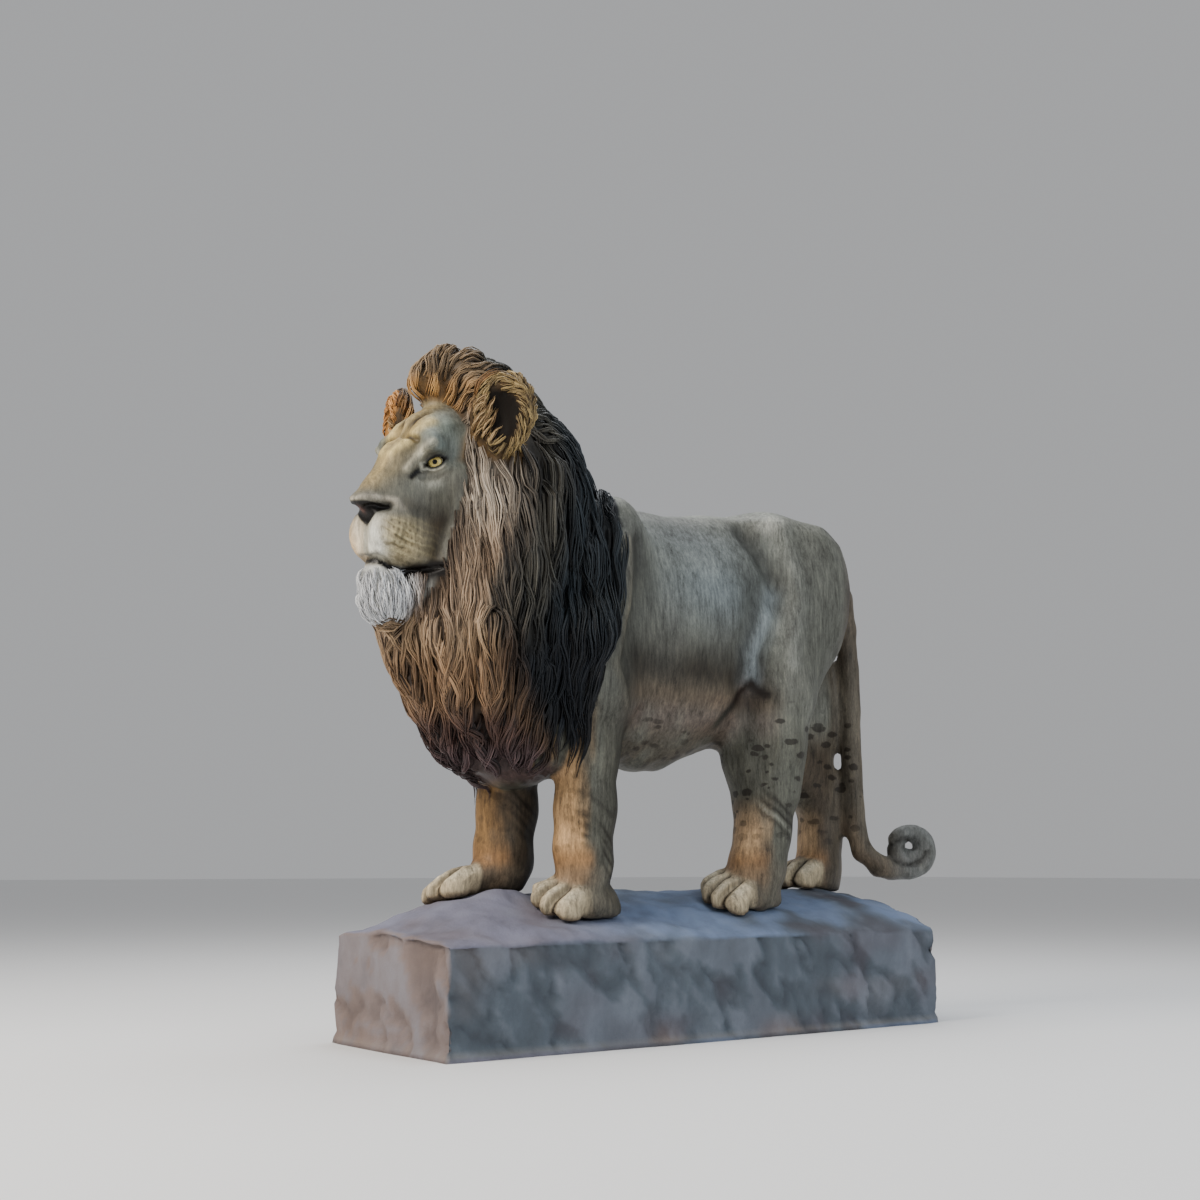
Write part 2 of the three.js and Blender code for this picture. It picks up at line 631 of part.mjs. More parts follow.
/** The closed surface where the distance is zero, by marching tetrahedra. Returns flat arrays. */
function skin(distance, lines) {
  const values = sample(distance, lines);
  const [nx, ny, nz] = lines.map((line) => line.length);
  const points = [];
  const triangles = [];
  const onEdge = new Map();
  const coordinates = (id) => {
    const row = Math.floor(id / nx);
    return [lines[0][id % nx], lines[1][row % ny], lines[2][Math.floor(row / ny)]];
  };
  const place = (a, b) => {
    const key = a < b ? a * values.length + b : b * values.length + a;
    let index = onEdge.get(key);
    if (index === undefined) {
      const t = THREE.MathUtils.clamp(values[a] / (values[a] - values[b]), 0.02, 0.98);
      const from = coordinates(a);
      const to = coordinates(b);
      index = points.length / 3;
      for (let i = 0; i < 3; i++) points.push(from[i] + t * (to[i] - from[i]));
      onEdge.set(key, index);
    }
    return index;
  };
  const steps = [0, 1, nx, nx + 1, nx * ny, nx * ny + 1, nx * ny + nx, nx * ny + nx + 1];
  for (let k = 0; k < nz - 1; k++) {
    for (let j = 0; j < ny - 1; j++) {
      for (let i = 0; i < nx - 1; i++) {
        const corner = (k * ny + j) * nx + i;
        let inside = 0;
        for (const step of steps) inside += values[corner + step] < 0 ? 1 : 0;
        if (inside === 0 || inside === 8) continue;
        for (const tetrahedron of TETRAHEDRA) {
          const ids = tetrahedron.map((c) => corner + steps[c]);
          const within = ids.filter((id) => values[id] < 0);
          const without = ids.filter((id) => values[id] >= 0);
          if (within.length === 0 || without.length === 0) continue;
          const odd = parity(ids, within, without);
          if (within.length === 1) {
            addTriangle(triangles, without.map((id) => place(within[0], id)), odd);
          } else if (within.length === 3) {
            addTriangle(triangles, within.map((id) => place(id, without[0])), odd);
          } else {
            const [a, b] = within;
            const [c, d] = without;
            const quad = [place(a, c), place(a, d), place(b, d), place(b, c)];
            addTriangle(triangles, [quad[0], quad[1], quad[2]], odd);
            addTriangle(triangles, [quad[0], quad[2], quad[3]], odd);
          }
        }
      }
    }
  }
  return { points, triangles };
}

/** True if putting the inner corners first turns the tetrahedron's order over. */
function parity(ids, within, without) {
  const order = [...within, ...without].map((id) => ids.indexOf(id));
  let swaps = 0;
  for (let i = 0; i < 4; i++) for (let j = i + 1; j < 4; j++) swaps += order[i] > order[j] ? 1 : 0;
  return swaps % 2 === 1;
}

function addTriangle(triangles, [a, b, c], odd) {
  if (odd) triangles.push(a, c, b);
  else triangles.push(a, b, c);
}

/** The largest connected piece of a skin, without the small pockets that locks can close in behind them. */
function largestPiece({ points, triangles }) {
  const parent = Int32Array.from({ length: points.length / 3 }, (_, i) => i);
  const find = (v) => {
    let root = v;
    while (parent[root] !== root) root = parent[root];
    parent[v] = root;
    return root;
  };
  for (let i = 0; i < triangles.length; i += 3) {
    parent[find(triangles[i + 1])] = find(triangles[i]);
    parent[find(triangles[i + 2])] = find(triangles[i]);
  }
  const sizes = new Map();
  for (let i = 0; i < triangles.length; i += 3) {
    const root = find(triangles[i]);
    sizes.set(root, (sizes.get(root) ?? 0) + 1);
  }
  const [largest] = [...sizes].reduce((best, entry) => (entry[1] > best[1] ? entry : best));
  const kept = [];
  for (let i = 0; i < triangles.length; i += 3) {
    if (find(triangles[i]) === largest) kept.push(triangles[i], triangles[i + 1], triangles[i + 2]);
  }
  return { points, triangles: kept };
}

// Thinning a skin

/** A heap of edges with the cheapest on top. */
class Heap {
  constructor() {
    this.items = [];
  }

  push(item) {
    const { items } = this;
    let i = items.length;
    items.push(item);
    while (i > 0) {
      const parent = (i - 1) >> 1;
      if (items[parent].cost <= item.cost) break;
      items[i] = items[parent];
      i = parent;
    }
    items[i] = item;
  }

  pop() {
    const { items } = this;
    const top = items[0];
    const last = items.pop();
    if (items.length > 0) {
      let i = 0;
      for (;;) {
        let child = 2 * i + 1;
        if (child >= items.length) break;
        if (child + 1 < items.length && items[child + 1].cost < items[child].cost) child++;
        if (items[child].cost >= last.cost) break;
        items[i] = items[child];
        i = child;
      }
      items[i] = last;
    }
    return top;
  }
}

/** The plane through a triangle's corners as a quadric: ten terms of a symmetric matrix, weighed by w. */
function planeQuadric([nx, ny, nz], [px, py, pz], w) {
  const d = -(nx * px + ny * py + nz * pz);
  const terms = [nx * nx, nx * ny, nx * nz, nx * d, ny * ny, ny * nz, ny * d, nz * nz, nz * d, d * d];
  return terms.map((term) => w * term);
}

/** The squared distance that a quadric gives at a point. */
function quadricCost(q, [x, y, z]) {
  return q[0] * x * x + q[4] * y * y + q[7] * z * z + q[9]
    + 2 * (q[1] * x * y + q[2] * x * z + q[3] * x + q[5] * y * z + q[6] * y + q[8] * z);
}

/** The point near middle that a quadric likes best, or middle itself where the form is too flat to say. */
function bestSpot(q, middle, reach) {
  const pull = 1e-3 * (q[0] + q[4] + q[7]) + 1e-9; // keeps the answer near the edge on flat ground
  const [a, b, c, d, e, f] = [q[0] + pull, q[1], q[2], q[4] + pull, q[5], q[7] + pull];
  const [x, y, z] = [pull * middle[0] - q[3], pull * middle[1] - q[6], pull * middle[2] - q[8]];
  const [da, db, dc] = [d * f - e * e, c * e - b * f, b * e - c * d];
  const determinant = a * da + b * db + c * dc;
  if (Math.abs(determinant) < 1e-12) return middle;
  const spot = [
    (da * x + db * y + dc * z) / determinant,
    (db * x + (a * f - c * c) * y + (b * c - a * e) * z) / determinant,
    (dc * x + (b * c - a * e) * y + (a * d - b * b) * z) / determinant,
  ];
  const away = Math.hypot(spot[0] - middle[0], spot[1] - middle[1], spot[2] - middle[2]);
  return away < reach ? spot : middle;
}

/** A closed skin whose edges can be collapsed one at a time. */
class Thinner {
  constructor({ points, triangles }, weight) {
    this.points = [];
    for (let i = 0; i < points.length; i += 3) this.points.push([points[i], points[i + 1], points[i + 2]]);
    this.around = this.points.map(() => new Set());
    this.quadrics = this.points.map(() => new Array(10).fill(0));
    this.stamps = new Uint32Array(this.points.length);
    this.faces = [];
    this.heap = new Heap();
    for (let i = 0; i < triangles.length; i += 3) {
      this.addFace([triangles[i], triangles[i + 1], triangles[i + 2]], weight);
    }
    this.alive = this.faces.length;
    for (const [a, b, c] of this.faces) {
      if (a < b) this.offer(a, b);
      if (b < c) this.offer(b, c);
      if (c < a) this.offer(c, a);
    }
  }

  /** The face's normal times twice its area. */
  normal([a, b, c]) {
    const [p, q, r] = [this.points[a], this.points[b], this.points[c]];
    const [ux, uy, uz] = [q[0] - p[0], q[1] - p[1], q[2] - p[2]];
    const [vx, vy, vz] = [r[0] - p[0], r[1] - p[1], r[2] - p[2]];
    return [uy * vz - uz * vy, uz * vx - ux * vz, ux * vy - uy * vx];
  }

  addFace(face, weight) {
    const n = this.normal(face);
    const area = Math.sqrt(n[0] ** 2 + n[1] ** 2 + n[2] ** 2);
    for (const v of face) this.around[v].add(this.faces.length);
    this.faces.push(face);
    if (area < 1e-9) return;
    const corner = this.points[face[0]];
    const terms = planeQuadric(n.map((value) => value / area), corner, area * weight(...corner));
    for (const v of face) for (let i = 0; i < 10; i++) this.quadrics[v][i] += terms[i];
  }

  /** Puts the edge from u to v in the heap, with the place it would shrink to. */
  offer(u, v) {
    const [p, r] = [this.points[u], this.points[v]];
    const q = this.quadrics[u].map((value, i) => value + this.quadrics[v][i]);
    const middle = [(p[0] + r[0]) / 2, (p[1] + r[1]) / 2, (p[2] + r[2]) / 2];
    const length2 = (p[0] - r[0]) ** 2 + (p[1] - r[1]) ** 2 + (p[2] - r[2]) ** 2;
    const spot = bestSpot(q, middle, Math.sqrt(length2));
    const cost = quadricCost(q, spot) + 1e-4 * length2; // of equal ones the shortest goes first
    this.heap.push({ cost, spot, u, v, stamp: this.stamps[u] + this.stamps[v] });
  }

  neighbours(v) {
    const found = new Set();
    for (const f of this.around[v]) for (const w of this.faces[f]) if (w !== v) found.add(w);
    return found;
  }

  /** True if moving v to a spot would fold over a face of its own, one that isn't shared with other. */
  folds(v, other, spot) {
    const kept = this.points[v];
    for (const f of this.around[v]) {
      const face = this.faces[f];
      if (face.includes(other)) continue;
      const before = this.normal(face);
      this.points[v] = spot;
      const after = this.normal(face);
      this.points[v] = kept;
      const dot = before[0] * after[0] + before[1] * after[1] + before[2] * after[2];
      const before2 = before[0] ** 2 + before[1] ** 2 + before[2] ** 2;
      const after2 = after[0] ** 2 + after[1] ** 2 + after[2] ** 2;
      if (dot < 0.25 * Math.sqrt(before2 * after2) || after2 < 1e-6) return true;
    }
    return false;
  }

  /** Shrinks the cheapest edge left, if that keeps the skin closed and unfolded. */
  step() {
    const { u, v, spot, stamp } = this.heap.pop();
    const { around, faces, stamps, quadrics } = this;
    if (around[u].size === 0 || around[v].size === 0 || stamp !== stamps[u] + stamps[v]) return;
    const near = this.neighbours(v);
    let shared = 0;
    for (const w of this.neighbours(u)) shared += near.has(w) ? 1 : 0;
    if (!near.has(u) || shared !== 2 || this.folds(u, v, spot) || this.folds(v, u, spot)) return;
    this.points[u] = spot;
    for (const f of around[v]) {
      const face = faces[f];
      if (face.includes(u)) {
        for (const w of face) if (w !== v) around[w].delete(f);
        faces[f] = null;
        this.alive--;
      } else {
        face[face.indexOf(v)] = u;
        around[u].add(f);
      }
    }
    around[v].clear();
    for (let i = 0; i < 10; i++) quadrics[u][i] += quadrics[v][i];
    stamps[u]++;
    for (const w of this.neighbours(u)) this.offer(u, w);
  }
}

/**
 * Collapses edges, cheapest first by the quadric error, until few enough triangles are left.
 * Weight says how dear a place is, so that the face keeps more triangles than the flank.
 */
function thin(mesh, target, weight) {
  const thinner = new Thinner(mesh, weight);
  while (thinner.alive > target && thinner.heap.items.length > 0) thinner.step();
  return { points: thinner.points, faces: thinner.faces.filter((face) => face !== null) };
}

/** A BufferGeometry from vertex places and triangles, without the unused vertices. */
function toGeometry({ points, faces }) {
  const renumbered = new Map();
  const kept = [];
  const index = [];
  for (const face of faces) {
    for (const v of face) {
      if (!renumbered.has(v)) {
        renumbered.set(v, renumbered.size);
        kept.push(...points[v]);
      }
      index.push(renumbered.get(v));
    }
  }
  const geometry = new THREE.BufferGeometry();
  geometry.setAttribute('position', new THREE.Float32BufferAttribute(kept, 3));
  geometry.setIndex(index);
  return geometry;
}

/** The front of the head, which gets a finer skin. */
const FACE_BOX = new THREE.Box3(new THREE.Vector3(-130, -1100, 740), new THREE.Vector3(170, -740, 1280));

/** How dear a place on the lion is when its skin is thinned. */
function detailWeight(x, y, z) {
  if (y < FACE_BOX.max.y && z > FACE_BOX.min.z) return 7;
  if (z < 110 && y < 800) return 3;
  if (y > 700) return 3;
  if (y < -250 && z > 300) return 1.2;
  return 0.9;
}

/** The lion's skin, standing over the rock. */
function lionGeometry() {
  const lowest = (ROCK_EDGE_HEIGHT - FIGURE_LIFT) / FIGURE_SCALE - PAW_BITE - 2 * SKIN_CELL;
  const { min, max } = lionBox().expandByScalar(2 * SKIN_CELL);
  const lines = [
    gridLines(min.x, max.x, FACE_BOX.min.x, FACE_BOX.max.x),
    gridLines(min.y, max.y, FACE_BOX.min.y, FACE_BOX.max.y),
    gridLines(lowest, max.z, FACE_BOX.min.z, FACE_BOX.max.z),
  ];
  const figure = (x, y, z) => {
    const d = lionDistance(x, y, z);
    // Nothing reaches deeper into the rock than a paw does
    return Math.max(d, seat(x, y) - PAW_BITE - z);
  };
  const geometry = toGeometry(thin(largestPiece(skin(figure, lines)), LION_TRIANGLES, detailWeight));
  geometry.scale(FIGURE_SCALE, FIGURE_SCALE, FIGURE_SCALE);
  geometry.translate(...FIGURE_PLACE, FIGURE_LIFT);
  return geometry;
}

// Cutting one solid by another

const wasm = await Module();
wasm.setup();

/** A closed geometry as a solid that can be cut. */
function toSolid(geometry) {
  return new wasm.Manifold(new wasm.Mesh({
    numProp: 3,
    vertProperties: Float32Array.from(geometry.attributes.position.array),
    triVerts: Uint32Array.from(geometry.index.array),
  }));
}

/** A solid's surface as a geometry. */
function fromSolid(solid) {
  const mesh = solid.getMesh();
  const geometry = new THREE.BufferGeometry();
  geometry.setAttribute('position', new THREE.Float32BufferAttribute(mesh.vertProperties, 3));
  geometry.setIndex(Array.from(mesh.triVerts));
  return geometry;
}

const rock = rockGeometry();
const raisedRock = rock.clone().translate(0, 0, SEAT_GAP);
const lion = fromSolid(toSolid(lionGeometry()).subtract(toSolid(raisedRock)));

const lionPaint = new THREE.MeshStandardMaterial({ color: 0x8a7a62, roughness: 0.75, metalness: 0 });
const rockPaint = new THREE.MeshStandardMaterial({ color: 0x7d8088, roughness: 0.9, metalness: 0 });

const statue = new THREE.Group();
for (const [name, geometry, material] of [['lion', lion, lionPaint], ['rock_base', rock, rockPaint]]) {
  const mesh = new THREE.Mesh(geometry, material);
  mesh.name = name;
  statue.add(mesh);
}

export default statue;
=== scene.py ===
"""A life-size painted lion on a rough-hewn rock base, dressed for soft studio renders.

The lion faces -Y and its left side is +X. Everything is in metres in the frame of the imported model, except
that the anatomy is described in millimetres in the figure's own frame, as its proportions are.
"""

import logging
import math
from dataclasses import dataclass, field
from enum import Enum
from typing import Any, Callable, Iterator, Optional, Sequence, Union

import bmesh
import bpy
import numpy as np
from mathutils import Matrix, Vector
from mathutils.bvhtree import BVHTree


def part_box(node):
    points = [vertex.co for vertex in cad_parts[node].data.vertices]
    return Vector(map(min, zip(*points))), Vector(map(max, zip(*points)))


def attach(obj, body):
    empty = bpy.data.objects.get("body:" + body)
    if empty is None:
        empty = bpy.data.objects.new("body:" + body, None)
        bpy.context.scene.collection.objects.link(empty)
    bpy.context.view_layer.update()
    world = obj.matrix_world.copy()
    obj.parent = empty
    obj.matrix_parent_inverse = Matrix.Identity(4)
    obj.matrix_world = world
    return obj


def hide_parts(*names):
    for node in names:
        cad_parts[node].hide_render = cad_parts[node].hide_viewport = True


Array = np.ndarray
Colour = tuple[float, float, float]
Number = Union[int, float]
Line = tuple[tuple[float, float, float], ...]

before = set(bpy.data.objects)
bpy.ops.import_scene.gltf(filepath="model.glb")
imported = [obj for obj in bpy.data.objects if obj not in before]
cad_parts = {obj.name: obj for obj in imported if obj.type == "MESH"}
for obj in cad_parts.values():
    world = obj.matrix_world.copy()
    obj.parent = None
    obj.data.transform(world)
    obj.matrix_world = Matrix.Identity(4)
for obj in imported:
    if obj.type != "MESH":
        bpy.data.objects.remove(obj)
MM = 0.001

log = logging.getLogger("lion")


# Numbers and fields


def tint(code: str) -> Colour:
    """A linear colour from the six hex digits of a paint swatch."""
    parts = [int(code[i : i + 2], 16) / 255 for i in (0, 2, 4)]
    return tuple(p / 12.92 if p <= 0.04045 else ((p + 0.055) / 1.055) ** 2.4 for p in parts)


def ramp(a: Number, b: Number, value: Array) -> Array:
    """Goes smoothly from 0 at a to 1 at b, whichever of the two is larger."""
    share = np.clip((value - a) / (b - a), 0.0, 1.0)
    return share * share * (3.0 - 2.0 * share)


def bump(value: Array, middle: Number, reach: Number) -> Array:
    """A soft bell, 1 at its middle and near 0 beyond its reach."""
    return np.exp(-(((value - middle) / reach) ** 2))


def mix(a: Array, b: Union[Array, Colour], share: Array) -> Array:
    """Rows of a mixed with b by a share for each row."""
    return a + (np.asarray(b) - a) * np.asarray(share)[:, None]


def plain(colour: Colour, count: int) -> Array:
    """Rows of one colour."""
    return np.tile(np.array(colour), (count, 1))


def field_noise(points: Array, scale: Union[Number, Sequence[Number]], seed: int) -> Array:
    """Smooth random values between -1 and 1.

    Args:
        points: One place in each row.
        scale: Size of a lump, the same or one for each axis, in the units of the points.
        seed: Which of the endless fields to read.

    Returns:
        One value for each row.
    """
    q = points / np.asarray(scale, float)
    cell = np.floor(q).astype(np.int64)
    part = q - cell
    part = part * part * (3.0 - 2.0 * part)
    total = np.zeros(len(points))
    for corner in range(8):
        offset = np.array([corner & 1, corner >> 1 & 1, corner >> 2 & 1])
        at = cell + offset
        key = (at[:, 0] * 73856093) ^ (at[:, 1] * 19349663) ^ (at[:, 2] * 83492791) ^ (seed * 97531)
        key = (key ^ (key >> 13)) * 1274126177
        value = ((key ^ (key >> 16)) & 0xFFFF) / 32767.5 - 1.0
        total += np.prod(np.where(offset, part, 1.0 - part), axis=1) * value
    return total


def unit(vectors: Array) -> Array:
    """Each row made one long."""
    return vectors / np.maximum(np.linalg.norm(vectors, axis=-1, keepdims=True), 1e-9)


def along_line(points: Array, line: Sequence[Sequence[float]]) -> tuple[Array, Array]:
    """How each point lies to a line through a few places.

    Args:
        points: One place in each row.
        line: The line's corners.

    Returns:
        The distance from the line, and the share of its length at the nearest place.
    """
    corners = np.asarray(line, float)
    steps = np.diff(corners, axis=0)
    lengths = np.linalg.norm(steps, axis=1)
    starts = np.concatenate([[0.0], np.cumsum(lengths)])
    best = np.full(len(points), 1e9)
    share = np.zeros(len(points))
    for i, step in enumerate(steps):
        t = np.clip(((points - corners[i]) @ step) / (lengths[i] ** 2), 0.0, 1.0)
        away = np.linalg.norm(points - corners[i] - t[:, None] * step, axis=1)
        nearer = away < best
        best[nearer] = away[nearer]
        share[nearer] = (starts[i] + t[nearer] * lengths[i]) / starts[-1]
    return best, share


def near_line(points: Array, line: Sequence[Sequence[float]], reach: float) -> Array:
    """1 on a line through a few places, falling off softly over a reach."""
    away, _ = along_line(points, line)
    return np.exp(-((away / reach) ** 2))


def near_spot(points: Array, spot: Sequence[float], reach: Sequence[float]) -> Array:
    """1 at a place, falling off softly over a reach along each axis."""
    return np.exp(-np.sum(((points - np.asarray(spot)) / np.asarray(reach)) ** 2, axis=1))


# The figure's own frames


@dataclass(frozen=True)
class Figure:
    """Where the figure stands, and how its head is held."""

    place: tuple[float, float] = (11.0, 10.0)
    lift: float = 342.26
    head_turn: float = math.radians(11.0)
    head_tilt: float = math.radians(4.5)
    head_pivot: tuple[float, float, float] = (0.0, -800.0, 1000.0)

    def from_world(self, points: Array) -> Array:
        """Places in the figure's frame, in millimetres, from metres in the row's frame."""
        return points / MM - np.array([*self.place, self.lift])

    def to_world(self, points: Array) -> Array:
        """Places in the row's frame, in metres, from the figure's millimetres."""
        return (points + np.array([*self.place, self.lift])) * MM

    def _turn(self) -> Array:
        """The rows that take the figure's directions to the head's.

        Returns:
            A turn of three rows.
        """
        c, s = math.cos(self.head_turn), math.sin(self.head_turn)
        ct, st = math.cos(self.head_tilt), math.sin(self.head_tilt)
        yaw = np.array([[c, s, 0.0], [-s, c, 0.0], [0.0, 0.0, 1.0]])
        tilt = np.array([[ct, 0.0, -st], [0.0, 1.0, 0.0], [st, 0.0, ct]])
        return tilt @ yaw

    def to_head(self, points: Array) -> Array:
        """Places in the head's frame from places in the figure's."""
        pivot = np.array(self.head_pivot)
        return (points - pivot) @ self._turn().T + pivot

    def from_head(self, points: Array) -> Array:
        """Places in the figure's frame from places in the head's."""
        pivot = np.array(self.head_pivot)
        return (points - pivot) @ self._turn() + pivot


FIGURE = Figure()


# Shader maths


class Wire:
    """A shader socket that takes part in Python arithmetic by adding Math nodes."""

    def __init__(self, board: "Board", socket: bpy.types.NodeSocket) -> None:
        """Wraps a socket of a board's node tree."""
        self.board = board
        self.socket = socket

    def _math(self, operation: str, *values: Any) -> "Wire":
        """Adds one Math node on these values."""
        return self.board.add("ShaderNodeMath", {"operation": operation}, dict(enumerate(values)))

    def __add__(self, other: Any) -> "Wire":
        """Sum."""
        return self._math("ADD", self, other)

    __radd__ = __add__

    def __sub__(self, other: Any) -> "Wire":
        """Difference."""
        return self._math("SUBTRACT", self, other)

    def __rsub__(self, other: Any) -> "Wire":
        """Difference from a number."""
        return self._math("SUBTRACT", other, self)

    def __mul__(self, other: Any) -> "Wire":
        """Product."""
        return self._math("MULTIPLY", self, other)

    __rmul__ = __mul__

    def clipped(self) -> "Wire":
        """The value held between 0 and 1."""
        return self.board.add("ShaderNodeClamp", {}, {"Value": self})

    def step(self, low: float, high: float) -> "Wire":
        """0 below low, 1 above high and a smooth way between, or the other way round.

        Args:
            low: The value that gives 0.
            high: The value that gives 1.

        Returns:
            The share.
        """
        return self.board.add(
            "ShaderNodeMapRange",
            {"interpolation_type": "SMOOTHSTEP"},
            {"Value": self, "From Min": low, "From Max": high},
        )


class Board:
    """A material's node tree, with one way to add every node."""

    def __init__(self, name: str) -> None:
        """Starts a material of that name with a Principled shader.

        Args:
            name: The material's name.
        """
        self.material = bpy.data.materials.new(name)
        self.material.use_nodes = True
        self.tree = self.material.node_tree
        self.shader = self.tree.nodes["Principled BSDF"]

    def add(self, kind: str, settings: dict[str, Any], inputs: dict[Any, Any], output: Any = 0) -> Wire:
        """Adds a node.

        Args:
            kind: The node's type.
            settings: Its own properties, which are set first.
            inputs: Values or wires by the name or the number of a socket.
            output: The name or number of the socket that is returned.

        Returns:
            The chosen output.
        """
        node = self.tree.nodes.new(kind)
        for name, value in settings.items():
            setattr(node, name, value)
        for name, value in inputs.items():
            socket = node.inputs[name]
            if isinstance(value, Wire):
                self.tree.links.new(value.socket, socket)
            elif isinstance(value, tuple) and len(value) == 3 and socket.type == "RGBA":
                socket.default_value = (*value, 1.0)
            else:
                socket.default_value = value
        return Wire(self, node.outputs[output])

    def place(self) -> Wire:
        """The place on the object, in metres."""
        return self.add("ShaderNodeTexCoord", {}, {}, "Object")

    def stretched(self, place: Wire, scale: Colour) -> Wire:
        """The place with each axis scaled."""
        return self.add("ShaderNodeMapping", {}, {"Vector": place, "Scale": scale})

    def noise(self, place: Wire, scale: float, detail: float = 4.0, rough: float = 0.5) -> Wire:
        """Soft noise around one half.

        Args:
            place: Where it is read.
            scale: Lumps in a metre.
            detail: How many finer layers it has.
            rough: How strong the finer layers are.

        Returns:
            The noise.
        """
        return self.add(
            "ShaderNodeTexNoise", {}, {"Vector": place, "Scale": scale, "Detail": detail, "Roughness": rough}
        )

    def attribute(self, name: str, output: str = "Fac") -> Wire:
        """A value painted on the mesh."""
        return self.add("ShaderNodeAttribute", {"attribute_name": name}, {}, output)

    def blend(self, share: Any, a: Any, b: Any, kind: str = "MIX") -> Wire:
        """Colour a with colour b over it."""
        settings = {"data_type": "RGBA", "blend_type": kind}
        return self.add("ShaderNodeMix", settings, {0: share, 6: a, 7: b}, 2)

    def relief(self, height: Wire, distance: float, strength: float) -> Wire:
        """A bump whose full height is a distance in metres."""
        return self.add("ShaderNodeBump", {}, {"Height": height, "Distance": distance, "Strength": strength})

    def feed(self, **inputs: Any) -> None:
        """Sets or links the shader's sockets, with spaces in their names written as _.

        Args:
            inputs: A value or a wire for each socket.
        """
        for name, value in inputs.items():
            socket = self.shader.inputs[name.replace("_", " ")]
            if isinstance(value, Wire):
                self.tree.links.new(value.socket, socket)
            elif isinstance(value, tuple) and len(value) == 3:
                socket.default_value = (*value, 1.0)
            else:
                socket.default_value = value


# Finishes


@dataclass(frozen=True)
class FurPaint:
    """Hand-painted short fur: streaks that run down the flanks, spots on the legs and a satin coat."""

    streak_depth: float = 0.0012
    rough: float = 0.52
    spot_scale: float = 25.0
    spot_strength: float = 0.78

    def make(self) -> bpy.types.Material:
        """Builds the material. It reads the attributes paint, spots, fur and gloss.

        Returns:
            The material.
        """
        b = Board("lion_fur_paint")
        place = b.place()
        streaks = b.noise(b.stretched(place, (1.0, 1.0, 0.16)), 105.0, 6.0, 0.66)
        fine = b.noise(b.stretched(place, (1.0, 1.0, 0.3)), 420.0, 3.0, 0.6)
        cloud = b.noise(b.stretched(place, (1.0, 1.0, 0.5)), 13.0, 5.0, 0.6)
        paint = b.attribute("paint", "Color")
        fur = b.attribute("fur")
        slanted = b.add(
            "ShaderNodeMapping", {}, {"Vector": place, "Rotation": (0.6, 0.0, 0.0), "Scale": (0.9, 0.55, 1.3)}
        )
        cells = {"Vector": slanted, "Scale": self.spot_scale, "Randomness": 1.0}
        away = b.add("ShaderNodeTexVoronoi", {"feature": "F1"}, cells, "Distance")
        kind = b.add("ShaderNodeTexVoronoi", {"feature": "F1"}, cells, "Color")
        chosen = b.add("ShaderNodeSeparateColor", {}, {"Color": kind})
        wobble = b.noise(place, 75.0, 3.0)
        size = chosen * 0.3 + 0.1
        spot = (away + (wobble - 0.5) * 0.3 - size).step(0.06, -0.05) * b.attribute("spots")
        tone = (streaks - 0.5) * 2.1 * fur + (fine - 0.5) * 1.0 * fur + (cloud - 0.5) * 1.5 - 0.16
        light = b.blend((tone * 0.9).clipped(), paint, (2.3, 2.25, 2.1), "MULTIPLY")
        shaded = b.blend((tone * -1.0).clipped(), light, tint("15120e"))
        coloured = b.blend(spot * self.spot_strength, shaded, tint("1d1712"))
        height = streaks * fur + fine * 0.4 * fur
        gloss = b.attribute("gloss")
        b.feed(
            Base_Color=coloured,
            Roughness=(self.rough + (streaks - 0.5) * 0.16 - gloss * 0.3),
            Normal=b.relief(height, self.streak_depth, 0.9),
            Specular_IOR_Level=0.22,
        )
        return b.material


@dataclass(frozen=True)
class HairPaint:
    """Painted hair on modelled strands, with a little gloss along them."""

    name: str
    rough: float = 0.56

    def make(self) -> bpy.types.Material:
        """Builds the material. It reads the attribute paint.

        Returns:
            The material.
        """
        b = Board(self.name)
        grain = b.noise(b.stretched(b.place(), (1.0, 1.0, 0.2)), 260.0, 4.0, 0.6)
        colour = b.blend(((0.5 - grain) * 1.5).clipped(), b.attribute("paint", "Color"), tint("17120e"))
        lit = b.blend(((grain - 0.52) * 1.6).clipped(), colour, tint("f0dcc0"), "SOFT_LIGHT")
        b.feed(
            Base_Color=lit,
            Roughness=self.rough + (grain - 0.5) * 0.2,
            Normal=b.relief(grain, 0.0012, 0.8),
            Specular_IOR_Level=0.3,
        )
        return b.material


@dataclass(frozen=True)
class EyePaint:
    """Glossy paint on an eyeball."""

    name: str

    def make(self) -> bpy.types.Material:
        """Builds the material. It reads the attribute paint.

        Returns:
            The material.
        """
        b = Board(self.name)
        b.feed(Base_Color=b.attribute("paint", "Color"), Roughness=0.2, Specular_IOR_Level=0.3)
        return b.material


